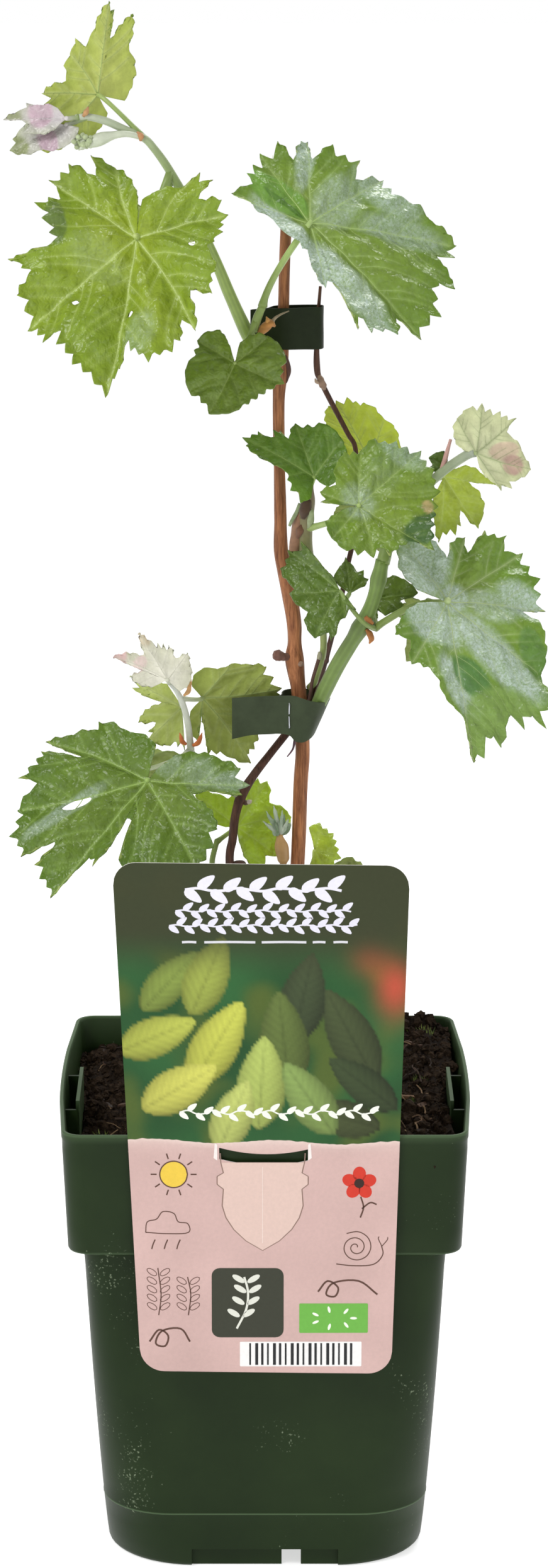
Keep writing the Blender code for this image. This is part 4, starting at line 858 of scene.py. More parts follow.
garland(-25, 24, 234.3, 6.6, 12, "e9e7f2", 0.5)
garland(-28, 27, 227.4, 3.9, 22, "e4e2ee", 0.3)
garland(-30, 29, 222.6, 3.9, 24, "e4e2ee", 0.3)
for left, right in ((-26, -21.5), (-19, -3), (-1, 13), (15, 19), (21.5, 26)):
    stroke([(left, 217.2), ((left + right) / 2, 217.3), (right, 217.2)], 0.75, "d9d8de")
garland(-27, 36, 161.2, 3.6, 24, "eef0e6", 0.7)

ink = "5d4238"
tongue = [(-14.2, 147.6), (-14.0, 144.5), (-13.2, 141), (-15.2, 139.8), (-15.2, 137.2), (-13.2, 135.6)]
tongue += [(-13.6, 130), (-12.4, 126), (-9.9, 122), (-6, 118.2), (-0.7, 115)]
tongue += [(-1.4 - x, z) for x, z in reversed(tongue[:-1])]
# the tongue's outline is a thin dark line of painted shadow in its cut
for a, b in zip(tongue[:-1], tongue[1:]):
    stroke([a, ((a[0] + b[0]) / 2, (a[1] + b[1]) / 2), b], 0.34, "8f766b", 0.02)
plate([(x * 0.985, z * 0.997 + 0.45) for x, z in tongue if z < 146], "dcc0b5", 0.11)
stroke([(-0.7, 143), (-0.7, 130), (-0.7, 117.5)], 0.16, "ecdbd3", 0.13)
for side in (-1, 1):
    flap = ((14.4, 150.5), (14.4, 145.2), (15.6, 146), (15.2, 150.9))
    plate([(side * x - 0.7, z) for x, z in flap], "efe6e1", 0.1)

# sun, cloud with drops, sprigs and a curl on the left; flower, snail and a curl on the right
plate(oval_shape(-29, 140.5, 4.3, 4.3), "e9c64a", 0.03)
rim = [(-29 + 4.4 * math.cos(t), 140.5 + 4.4 * math.sin(t)) for t in np.linspace(0, 6.283, 13)]
stroke(rim, 0.4, ink, 0.05)
for ray in range(10):
    c, s = math.cos(ray * 0.628), math.sin(ray * 0.628)
    stroke([(-29 + out * c, 140.5 + out * s) for out in (5.4, 6.4, 7.3)], 0.45, ink)
cloud = [(-38, 121), (-37.5, 124.5), (-34.5, 125.5), (-32.5, 128), (-29, 127.4), (-27.6, 124.6)]
cloud += [(-24.6, 124), (-24.4, 121), (-31, 120.6)]
stroke(cloud, 0.32, ink, close=True)
for x in (-35, -31, -27):
    stroke([(x, 118.6), (x - 0.7, 116.9), (x - 1.1, 115.4)], 0.4, ink)
for foot, high, count in ((-34, 109, 5), (-24.5, 106, 4)):
    stroke([(foot, 93), (foot + 0.8, 100), (foot - 0.2, high)], 0.35, ink)
    for i in range(count):
        for side in (-1, 1):
            outline = oval_shape(foot + side * 2.1, 96 + i * 2.9, 1.8, 0.85, side * 35, 8)
            stroke(outline, 0.22, ink, close=True)
curl = [(-37, 84), (-34, 88), (-31, 86), (-32, 82.5), (-35, 83.4), (-33, 87.6), (-27, 88.4), (-24, 84)]
stroke(curl, 0.6, ink)
for petal in range(5):
    turn = petal * 1.257 + 0.3
    x, z = 30 + 3.1 * math.cos(turn), 137.5 + 3.1 * math.sin(turn)
    plate(oval_shape(x, z, 2.5, 2.1, math.degrees(turn)), "cf3a2a", 0.03)
plate(oval_shape(30, 137.5, 1.6, 1.6), "3a2620", 0.05)
stroke([(30.5, 133), (31.4, 129.5), (30.4, 126)], 0.5, ink)
stroke([(30.9, 129), (33.5, 131), (35.6, 130.4)], 0.5, ink)
spiral = [(0.5 + 0.24 * i, i * 0.7) for i in range(22)]
stroke([(29 + out * math.cos(turn), 116 + out * math.sin(turn)) for out, turn in spiral], 0.32, ink)
stroke([(22.8, 110.4), (28, 109.8), (34.6, 110.2), (37.6, 113.4), (37.2, 116.6)], 0.35, ink)
stroke([(37.2, 116.6), (36.2, 118.8), (36.4, 119.6)], 0.28, ink)
stroke([(37.4, 116.4), (39, 118.4), (39.2, 119.4)], 0.28, ink)
curl = [(17, 101), (20, 104.6), (23.4, 102.4), (22.4, 99.4), (19.6, 100.2), (22, 104), (30, 104.6), (36, 100)]
stroke(curl, 0.6, ink)

# a dark square with a pale sprig, a green oblong with a ring of small leaves, and a strip of bars
plate(rounded_box(-17, 85.5, 6, 109, 2.6), "3b3d31", 0.05)
stroke([(-9, 88.5), (-6, 95), (-5.4, 101), (-6.6, 106)], 0.7, "dfe0d4", 0.08)
for i, (x, z) in enumerate(((-7.6, 92.4), (-6.1, 96.6), (-5.5, 100.6), (-6, 104))):
    for side in (-1, 1):
        plate(oval_shape(x + side * 2.4, z + 1.4, 2.3, 0.95, side * 32, 14), "dfe0d4", 0.08)
plate(rounded_box(11, 87, 33, 97, 0.4), "6fb24b", 0.05)
for i in range(7):
    c, s = math.cos(i * 0.9), math.sin(i * 0.9)
    plate(oval_shape(22 + 6.4 * c, 92 + 3 * s, 1.15, 0.45, i * 51, 10), "eef5e4", 0.08)
plate(rounded_box(-8, 75.6, 31, 84, 0.3), "f3f1ef", 0.05)
for i in range(18):
    left = -5 + i * 1.9
    plate(rounded_box(left, 76.1, left + (0.55, 0.95, 0.75)[i % 3], 83.5, 0.05), "2a2a2c", 0.08)

for piece in (card, strap, printing.shape("label_card_print", printed, smooth=False)):
    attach(piece, "root")
    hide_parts("label_card")


# ---------------------------------------------------------------- woody canes
# Last year's wood: one short trunk that flares at the compost, a main cane with knuckles where buds
# sat, and a thinner, darker cane beside it. Long fibrous bark runs along them in fine ridges.

def bark_finish(name, light, dark, pitch):
    """Fibrous bark: long pale and dark streaks over the wood's own tint, which each point carries."""
    finish = Finish(name, 0.55, Specular_IOR_Level=0.25)
    stretch = finish.texture("Mapping", Scale=(pitch, pitch, pitch * 0.07)).outputs["Vector"]
    settings = {"Vector": stretch, "Scale": 1, "Detail": 6, "Roughness": 0.7}
    streaks = add(finish.tree, "ShaderNodeTexNoise", **settings).outputs["Fac"]
    fibres_tone = finish.ramp(streaks, srgb(dark), srgb(light), 0.3, 0.72)
    colour = finish.mix(1, fibres_tone, finish.tint()["Color"], "MULTIPLY")
    return finish.made_of(colour, finish.bump(streaks, 0.7, 0.0003))


def cane(name, route, radii, material, grain, sides=36, ridges=0.06, tint=(1, 1, 1), ends=None):
    """A woody limb with bark relief: (mm route, mm radii). ends are the tints at its two ends."""
    fine = 8
    path = smooth_path(route, fine)
    wide = eased(radii, fine) * MM
    run = np.r_[0, np.cumsum(np.linalg.norm(np.diff(path, axis=0), axis=1))] / MM

    def relief(i, turn):
        spot = Vector((math.cos(turn) * grain, math.sin(turn) * grain, run[i] * 0.09))
        coarse = noise.noise(spot * 0.35 + Vector((3, 7, 1)))
        fibre = noise.noise(spot) * 0.7 + noise.noise(spot * 2.1) * 0.3
        return 1 + ridges * fibre + 0.6 * ridges * coarse

    points, faces = tube(path, wide, sides, relief)
    first, last = (np.array(t) for t in (ends or (tint, tint)))
    shades = []
    for i in range(len(path)):
        base = first + (last - first) * run[i] / run[-1]
        for k in range(sides):
            turn = 2 * math.pi * k / sides
            spot = Vector((math.cos(turn) * 1.5, math.sin(turn) * 1.5, run[i] * 0.05))
            gain = 1 + 0.3 * noise.noise(spot) + 0.18 * noise.noise(spot * 4)
            shades.append((*(base * gain).clip(0, 1), 1))
    return made(name, points, faces, (material,), {"tint": shades})


bark = bark_finish("bark", "d08f60", "5e2f1a", 1250)
dark_bark = bark_finish("dark_bark", "694637", "2e1d17", 1900)

trunk = cane(
    "trunk_bark",
    ((8.5, 0, 143.6), (8.4, 0, 145.5), (8, 0.1, 150), (6.8, 0.2, 160), (4.8, 0.5, 175.6)),
    (6.6, 5.4, 4.2, 3.7, 3.5), bark, 3.2, sides=56, ridges=0.12, tint=(0.72, 0.68, 0.62),
)
main_cane = cane(
    "main_cane_bark",
    (
        (4.9, 0.5, 174.8), (8, 0.3, 195), (10.7, 0, 225), (11.6, 0, 251), (12.3, 0, 263), (11.4, 0, 278),
        (10.8, 0, 284), (9.6, 0, 292.8), (9.6, 0, 299.4), (9.2, 0, 307), (6.7, 0, 322), (5.2, 0, 329),
        (5, 0, 340), (4.6, 0, 358), (4.4, 0, 376), (5, 0, 388), (5.8, 0, 400), (6, 0, 411.5),
        (6.6, 0, 430.6), (6.9, 0.2, 436),
    ),
    (3.3, 2.5, 2.3, 2.3, 2.3, 2.4, 2.5, 3.1, 2.2, 2.4, 2.6, 2.3, 2.0, 1.8, 1.9, 2.4, 1.9, 1.75, 1.75, 1.7),
    bark, 2.6, ends=((0.92, 0.88, 0.84), (0.7, 0.68, 0.7)),
)
thin_cane = cane(
    "thin_cane_bark",
    (
        (-0.8, 0, 168), (-4.8, -1.2, 181), (-9.5, -2.2, 205), (-11.5, -2.5, 225.9), (-10.5, -2.5, 233.8),
        (-9.6, -2.5, 241.7), (-7.4, -2, 248.7), (-3.3, -0.5, 255.1), (1.8, 1.5, 261.4), (7.4, 3.8, 268.1),
        (12.3, 5.1, 274.6),
    ),
    (2, 1.7, 1.5, 1.4, 1.4, 1.4, 1.7, 1.4, 1.3, 1.3, 1.3), dark_bark, 2.2, sides=26,
)
thin_tip = cane(
    "thin_cane_tip_bark",
    (
        (12.1, 5.1, 274), (15.2, 5, 280.5), (17.9, 4, 285.8), (21.2, 2.8, 298.2), (24.4, 2.4, 311.8),
        (26.6, 2.4, 323.2), (28.7, 2.4, 333.5), (29.6, 2.6, 345.8), (29.1, 3, 361.1), (26.2, 3, 367.2),
        (18.3, 2.6, 382.6), (16.6, 2, 388.3), (16.7, 1.2, 400.9), (17.6, 0.8, 414.1),
    ),
    (1.1, 1.05, 0.95, 0.9, 0.85, 0.85, 0.82, 0.8, 0.78, 0.8, 0.9, 1.05, 0.65, 0.5), dark_bark, 1.8, sides=20,
)
for piece, node, finish in (
    (trunk, "trunk", "bark"), (main_cane, "main_cane", "bark"),
    (thin_cane, "thin_cane", "dark_bark"), (thin_tip, "thin_cane_tip", "dark_bark"),
):
    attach(piece, "root")
    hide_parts(node)


# ---------------------------------------------------------------- leaf blades
# A lobed, toothed blade a third of a millimetre thick. Five or more main veins run from the stalk to
# the lobes, side veins leave them, and the tissue between them is puffed up like a quilt.

LEAF_THICK = 0.32 * MM


def leaf(on, at, rib, face, lobes, upper, under=None, fold=0.1, cup=0.15, stalk=0.8, via=None, **looks):
    """One leaf, in mm and degrees.

    on is where its stalk leaves the stem, from 0 to 1, and via a point that the stalk bends past. at is
    where the blade starts, rib the way its middle rib runs, face the way its upper side looks. lobes are
    (angle from the middle rib, reach) round its edge. upper and under are three tones of each side: near
    the stalk, near the edge, along the veins. looks are teeth, tooth, puff, wave, holes, patches, blush.
    """
    face = np.array(face, float) / np.linalg.norm(face)
    rib = np.array(rib, float)
    rib = rib - face * rib.dot(face)
    rib /= np.linalg.norm(rib)
    return {
        "on": on, "at": np.array(at, float) * MM, "rib": rib, "face": face, "side": np.cross(face, rib),
        "lobes": [(math.radians(angle), reach * MM) for angle, reach in lobes],
        "size": max(reach for _, reach in lobes) * MM,
        "fold": fold, "cup": cup, "stalk": stalk * MM, "via": via,
        "upper": upper.split(), "under": (under or upper).split(), **looks,
    }


def rear_leaf(on, at, rib, face, length):
    """An ordinary five-lobed leaf of this length, for the far side of the plant."""
    left = (
        (-168, 0.3), (-150, 0.5), (-128, 0.62), (-108, 0.7), (-94, 0.62), (-82, 0.5), (-70, 0.72), (-54, 0.9),
        (-41, 0.8), (-30, 0.62), (-17, 0.84),
    )
    right = [(-angle, reach) for angle, reach in reversed(left)]
    lobes = [(angle, length * part) for angle, part in (*left, (0, 1), *right)]
    return leaf(on, at, rib, face, lobes, "77902e 698327 9bb161", "9aa85e 8f9f54 bcc78c", cup=0.3)


def leaf_edge(spec, step=0.75 * MM):
    """The edge as angles and reaches, first plain, then with pointed teeth cut in it."""
    plain, toothed = [], []
    lobes = spec["lobes"]
    depth = spec.get("teeth", 0.42)
    tooth = spec.get("tooth", 3.6) * MM
    for (a0, r0), (a1, r1) in zip(lobes, lobes[1:]):
        length = math.hypot(r1 - r0, (a1 - a0) * (r0 + r1) / 2)
        count = max(2, 2 * round(length / step / 2))
        teeth = max(1, round(length / tooth))
        flank = abs(r1 - r0) > 0.13 * max(r0, r1)
        hollow = 0 if flank else min(0.2, 0.0022 * math.degrees(a1 - a0))
        for k in range(count):
            t = k / count
            notch = depth * length / teeth * (1 - abs(2 * (t * teeth % 1) - 1)) ** 1.15
            angle = a0 + (a1 - a0) * t
            if flank:
                fall = t**1.5 if r0 > r1 else 1 - (1 - t) ** 1.5
                reach = r0 + (r1 - r0) * fall
                shift = (0.55 if r1 > r0 else -0.55) * notch / max(reach, 0.4 * spec["size"])
                toothed.append((angle + shift, reach))
            else:
                reach = (r0 + (r1 - r0) * t) * (1 - hollow * math.sin(math.pi * t))
                toothed.append((angle, reach - (notch if length > 0.6 * tooth else 0)))
            plain.append((angle, reach))
    return (np.array(edge + [lobes[-1]]).T for edge in (plain, toothed))


def vein_lines(spec, angles, reaches, rng):
    """Main veins to the tips of the lobes and side veins off them: (flat points, width at the root)."""
    picked = []
    for angle, reach in sorted(spec["lobes"], key=lambda tip: -tip[1]):
        if reach > 0.42 * spec["size"] and all(abs(angle - other) > 0.6 for other, _ in picked):
            picked.append((angle, reach))
    picked.sort()
    bounds = [angles[0], *[(a[0] + b[0]) / 2 for a, b in zip(picked, picked[1:])], angles[-1]]
    size = spec["size"]
    gap = max(3 * MM, 0.125 * size)
    width = 0.55 * MM * (size / (40 * MM)) ** 0.5
    lines = []
    for number, (angle, reach) in enumerate(picked):
        low, high = bounds[number], bounds[number + 1]
        bow = rng.uniform(-0.035, 0.035) * reach
        ahead = np.array((math.sin(angle), math.cos(angle)))
        aside = np.array((ahead[1], -ahead[0]))
        t = np.linspace(0, 0.97, max(6, int(reach / (1.5 * MM))))[:, None]
        lines.append((ahead * reach * t + aside * bow * np.sin(math.pi * t), width, True))
        station = gap * rng.uniform(0.9, 1.3)
        hand = 1
        while station < 0.93 * reach:
            part = station / reach
            start = ahead * station + aside * bow * math.sin(math.pi * part)
            for sense in (hand, -hand):
                turn = angle + sense * math.radians(54 - 12 * part)
                point = start.copy()
                side_line = [point.copy()]
                for _ in range(60):
                    point += 1.1 * MM * np.array((math.sin(turn), math.cos(turn)))
                    turn -= sense * math.radians(1.3)
                    here = math.atan2(point[0], point[1])
                    here += 2 * math.pi * round((angle - here) / (2 * math.pi))
                    edge = np.interp(here, angles, reaches)
                    if not low <= here <= high or math.hypot(*point) > 0.95 * edge:
                        break
                    side_line.append(point.copy())
                if len(side_line) > 2:
                    lines.append((np.array(side_line), 0.62 * width * (1 - 0.4 * part), False))
                start = start + ahead * gap * 0.42
            station += gap * (1.15 - 0.35 * part) * rng.uniform(0.85, 1.15)
            hand = -hand
    return lines


def near(points, marks):
    """Distance from each flat point to the nearest mark."""
    found = np.empty(len(points))
    for start in range(0, len(points), 4000):
        some = points[start : start + 4000]
        gaps = some[:, None, :] - marks[None]
        found[start : start + 4000] = np.sqrt((gaps**2).sum(2).min(1))
    return found


def dense(line, pitch=0.6 * MM):
    """Marks at an even pitch along a flat line."""
    steps = np.r_[0, np.cumsum(np.hypot(*np.diff(line, axis=0).T))]
    at = np.arange(0, steps[-1], pitch)
    return np.stack([np.interp(at, steps, line[:, k]) for k in (0, 1)], 1)


def leaf_surface(spec, veins, rng):
    """A function from flat points (across, along) to places in space, on the middle of the blade."""
    main = np.concatenate([dense(line) for line, _, is_main in veins if is_main])
    every = np.concatenate([dense(line) for line, _, _ in veins])
    size = spec["size"]
    puff = spec.get("puff", 0.9) * MM * (size / (40 * MM)) ** 0.5
    wave = spec.get("wave", 0.035) * size
    phases = rng.uniform(0, 2 * math.pi, 4)

    def place(flat):
        across, along = flat.T
        square = across**2 + along**2
        angle = np.arctan2(across, along)
        out = np.sqrt(square) / size
        lift = spec["fold"] * np.abs(across) - spec["cup"] * square / size
        lift += wave * out**3 * (np.sin(5 * angle + phases[0]) + 0.6 * np.sin(9 * angle + phases[1]))
        lift += puff * (1 - np.exp(-((near(flat, every) / (0.05 * size)) ** 2)))
        lift += 2.2 * puff * (1 - np.exp(-((near(flat, main) / (0.1 * size)) ** 2))) - 1.6 * puff
        ripple = np.sin(across / (0.043 * size) + phases[2]) * np.sin(along / (0.051 * size) + phases[3])
        lift += 0.35 * puff * ripple
        base = spec["at"] + across[:, None] * spec["side"] + along[:, None] * spec["rib"]
        return base + lift[:, None] * spec["face"]

    return place, main, every


def leaf_sheet(spec, seed):
    """Points, faces, colours of the two sides, and the veins, of one blade's middle surface."""
    rng = np.random.default_rng(seed)
    (angles, reaches), toothed = leaf_edge(spec)
    veins = vein_lines(spec, angles, reaches, rng)
    place, main, every = leaf_surface(spec, veins, rng)
    rings = max(7, round(spec["size"] / (1.1 * MM)))
    parts = (np.arange(1, rings + 1) / rings) ** 0.92
    plain = np.stack([np.sin(angles) * reaches, np.cos(angles) * reaches], 1)
    teeth = np.stack([np.sin(toothed[0]) * toothed[1], np.cos(toothed[0]) * toothed[1]], 1) - plain
    parts = parts[:, None, None]
    flat = np.concatenate([[[0, 0]], (parts * plain + parts**12 * teeth).reshape(-1, 2)])
    parts = parts.ravel()
    count = len(angles)
    faces = [(0, 1 + j, 2 + j) for j in range(count - 1)]
    for ring in range(rings - 1):
        a = 1 + ring * count
        faces += [(a + j, a + count + j, a + count + j + 1, a + j + 1) for j in range(count - 1)]
    for x, y, half_x, half_y, turn in spec.get("holes", ()):
        flat, faces = cut_hole(flat, faces, np.array((x, y)) * MM, (half_x * MM, half_y * MM), turn)
    out = np.repeat(parts, count)
    out = np.r_[0, out]
    to_vein, to_main = near(flat, every), near(flat, main)
    blend = rng.uniform(0, 6, 3)
    drift = 0.5 + 0.5 * np.sin(flat[:, 0] * 140 + blend[0]) * np.sin(flat[:, 1] * 110 + blend[1])
    vein_glow = 0.3 * np.exp(-((to_vein / (0.45 * MM)) ** 2))
    vein_glow = np.maximum(vein_glow, 0.5 * np.exp(-((to_main / (0.004 * spec["size"] + 0.4 * MM)) ** 2)))
    upper = leaf_colour(spec["upper"], out, drift, vein_glow)
    under = leaf_colour(spec["under"], out, drift, vein_glow)
    for patch in spec.get("patches", ()):
        lay_patch(upper, flat, patch, vein_glow)
    for patch in spec.get("blush", ()):
        lay_patch(upper, flat, patch, vein_glow)
        lay_patch(under, flat, patch, vein_glow)
    return place(flat), faces, upper, under, veins, place


def leaf_colour(tones, out, drift, glow):
    """Colour from a leaf's three tones: near the stalk, near the edge, and along the veins."""
    near_stalk, near_edge, vein = (np.array(srgb(tone)) for tone in tones)
    share = np.clip(0.75 * out + 0.5 * (drift - 0.5), 0, 1)[:, None]
    tissue = near_stalk * (1 - share) + near_edge * share
    colour = tissue * (1 - glow[:, None]) + vein * glow[:, None]
    return np.c_[colour, np.zeros(len(colour))]


def lay_patch(colours, flat, patch, glow):
    """Tints an oval of a blade: middle and halves (mm), turn in degrees, and a tone.

    A number in place of the tone is how much silvery sheen the patch has, partly the down's own pale colour
    and partly painted reflection, which the colour's fourth value carries. A dark green tone on some blades
    is painted shade over a fold.
    """
    x, y, half_x, half_y, turn, tone = patch
    c, s = math.cos(math.radians(turn)), math.sin(math.radians(turn))
    local = (flat / MM - (x, y)) @ np.array(((c, -s), (s, c))) / (half_x, half_y)
    out = np.hypot(*local.T)
    if isinstance(tone, str):
        share = np.clip((1.1 - out) * 5, 0, 0.95) * (1 - 0.7 * glow)
        colours[:, :3] += (np.array(srgb(tone)) - colours[:, :3]) * share[:, None]
        colours[:, 3] *= 1 - share
    else:
        colours[:, 3] = np.maximum(colours[:, 3], tone * np.clip((1.25 - out) * 2.2, 0, 1))


def cut_hole(flat, faces, middle, halves, turn):
    """Opens an oval hole in a flat sheet: its faces go, and the points round it move to its edge."""
    c, s = math.cos(math.radians(turn)), math.sin(math.radians(turn))
    spin = np.array(((c, -s), (s, c)))
    local = (flat - middle) @ spin / halves
    inside = np.hypot(*local.T) < 1
    kept = [face for face in faces if not all(inside[i] for i in face)]
    edge = sorted({i for face in kept for i in face if inside[i]})
    if edge:
        stretched = local[edge] / np.hypot(*local[edge].T)[:, None]
        flat = flat.copy()
        flat[edge] = stretched * halves @ spin.T + middle
    return flat, kept


def vein_mesh(veins, place, thick):
    """Flattened cords along the veins, half sunk in the blade, proud of its underside."""
    points, faces = [], []
    for line, width, is_main in veins:
        if len(line) < 3:
            continue
        step = np.gradient(line, axis=0)
        aside = np.stack([step[:, 1], -step[:, 0]], 1) / np.hypot(*step.T)[:, None]
        fade = np.linspace(1, 0.35, len(line))[:, None] * width
        left, right = place(line + aside * fade / 2), place(line - aside * fade / 2)
        middle = (left + right) / 2
        ahead = np.gradient(middle, axis=0)
        up = np.cross(ahead, left - right)
        up /= np.linalg.norm(up, axis=1)[:, None]
        rise, drop = thick * 0.5 + 0.2 * fade, thick * 0.5 + (0.9 if is_main else 0.6) * fade
        start = len(points)
        for k in range(len(line)):
            points += [left[k], middle[k] + up[k] * rise[k], right[k], middle[k] - up[k] * drop[k]]
        for k in range(len(line) - 1):
            a = start + 4 * k
            faces += [(a + i, a + (i + 1) % 4, a + 4 + (i + 1) % 4, a + 4 + i) for i in range(4)]
        last = len(points) - 4
        faces += [(start + 3, start + 2, start + 1, start), (last, last + 1, last + 2, last + 3)]
    return points, faces


# ---------------------------------------------------------------- leafy shoots
# Each shoot carries its blades on round stalks. Blades, and stalks with the veins that carry on from
# them, are two pieces: a waxy upper side over a paler, softer underside, and ribbed juicy green stalks.

def leaf_side(name, roughness, bump, glint_amount, **settings):
    """One side of a blade: its own tint, mottled, over a fine net of the smallest veins.

    Silvery patches lie on it, as thick as the tint's fourth value says: partly the wax and down's own pale
    colour, partly painted reflection. Painted glints, small pale flecks that stand in for highlights, lie all
    over it, most where it is silvery.
    """
    finish = Finish(name, roughness, **settings)
    tint = finish.tint("upper" if "upper" in name else "under")
    mottled = finish.scaled(tint["Color"], finish.span(finish.noise(260, 5, 0.62), 0.8, 1.16, 0.25, 0.75))
    # silvery patches: partly the wax and down's own pale colour, partly painted reflection
    sheen_grain = finish.span(finish.noise(1300, 4, 0.6, 0.8), 0.35, 1, 0.36, 0.64)
    down_and_painted_sheen = finish.maths("MULTIPLY", sheen_grain, tint["Alpha"])
    # painted glints: pale flecks in the base colour in place of highlights, most where the blade is silvery
    most = finish.maths("MULTIPLY_ADD", tint["Alpha"], 1.4 * glint_amount, 0.2 * glint_amount)
    painted_glints = finish.span(finish.noise(560, 1.5, distortion=0.3), 0, most, 0.56, 0.8)
    with_down_and_painted_sheen = finish.mix(finish.maths("ADD", down_and_painted_sheen, painted_glints), mottled, (*srgb("bccdc2"), 1))
    blister = finish.texture("TexVoronoi", Scale=340, feature="SMOOTH_F1").outputs["Distance"]
    net = finish.texture("TexVoronoi", Scale=620, feature="DISTANCE_TO_EDGE").outputs["Distance"]
    domes = finish.bump(blister, bump, 0.0009, invert=True)
    return finish.made_of(with_down_and_painted_sheen, finish.bump(net, bump, 0.0004, Normal=domes))


leaf_upper = leaf_side("leaf_upper", 0.34, 0.85, 0.34, Specular_IOR_Level=0.42, Sheen_Weight=0.04)
leaf_under = leaf_side("leaf_under", 0.6, 0.45, 0.1, Specular_IOR_Level=0.25, Sheen_Weight=0.08)


def stem_finish(name, roughness):
    """Soft stalks and scales, whose tint varies along them."""
    finish = Finish(name, roughness, Sheen_Weight=0.15)
    mottle = finish.noise(420, 4)
    colour = finish.scaled(finish.tint()["Color"], finish.span(mottle, 0.78, 1.2))
    return finish.made_of(colour, finish.bump(mottle, 0.3, 0.0002))


green_stem = stem_finish("green_stem", 0.45)


def stalk_path(spec, path):
    """The route of a leaf stalk: it leaves the stem, and bends round to meet the blade from behind."""
    place = spec["on"] * (len(path) - 1)
    low = min(int(place), len(path) - 2)
    start = path[low] + (path[low + 1] - path[low]) * (place - low)
    end = spec["at"] - spec["face"] * 0.15 * MM
    bend = end - spec["face"] * 0.3 * np.linalg.norm(end - start)
    if spec["via"]:
        bend = np.array(spec["via"]) * MM
    t = np.linspace(0, 1, 15)[:, None]
    return start * (1 - t) ** 2 + bend * 2 * t * (1 - t) + end * t * t


def rib_relief(count, depth):
    """Lengthwise ribs on a stalk."""
    return lambda i, turn: 1 + depth * math.cos(count * turn) + 0.6 * depth * math.sin(3 * turn + i * 0.3)


STEM_SIDES, STALK_SIDES = 14, 10


def grow_mass(name, stem, radii, *leaves, sprigs=(), tone=("74883f", "7d9249")):
    """Builds the two pieces of one leafy shoot from its stem, in mm, and its leaves.

    sprigs are short side stems (route, radii, tone); tone is the stem's at its foot and at its end.
    """
    path = smooth_path(stem, 6)
    stalks = Heap()
    tones = [np.array((*srgb(t), 1)) for t in tone]
    points, faces = tube(path, eased(radii, 6) * MM, STEM_SIDES, rib_relief(7, 0.03))
    share = np.repeat(np.linspace(0, 1, len(path)), STEM_SIDES)[:, None]
    stalks.take(points, faces, tones[0] * (1 - share) + tones[1] * share)
    for points_mm, radii_mm, shade in sprigs:
        route = smooth_path(points_mm, 5)
        sprig = tube(route, eased(radii_mm, 5) * MM, STALK_SIDES, rib_relief(5, 0.04))
        stalks.take(*sprig, (*srgb(shade), 1))
    blades = Heap()
    under = []
    for number, spec in enumerate(leaves):
        seed = sum(map(ord, name)) * 10 + number
        points, faces, upper, below, veins, place = leaf_sheet(spec, seed)
        blades.take(points, faces, upper)
        under += list(below)
        vein_tone = (*srgb(spec["upper"][2]), 1)
        stalks.take(*vein_mesh(veins, place, LEAF_THICK), vein_tone)
        route = stalk_path(spec, path)
        along = np.linspace(0, 1, len(route))
        wide = spec["stalk"] * np.interp(along, (0, 0.15, 0.5, 0.9, 1), (1.35, 1, 0.9, 0.95, 0.6))
        share = np.repeat(along, STALK_SIDES)[:, None]
        tint = tones[0] * (1 - share) + np.array(vein_tone) * share
        stalks.take(*tube(route, wide, STALK_SIDES, rib_relief(5, 0.04)), tint)
    blade = made(
        name + "_blades", blades.points, blades.faces, (leaf_upper, leaf_under),
        {"upper": blades.tints, "under": under},
    )
    shell = blade.modifiers.new("thickness", "SOLIDIFY")
    shell.thickness = LEAF_THICK
    shell.offset = 0
    shell.material_offset = 1
    shell.material_offset_rim = 0
    baked(blade)
    stalk = stalks.shape(name + "_stalks", green_stem)
    for piece in (blade, stalk):
        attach(piece, "root")
        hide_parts(name)


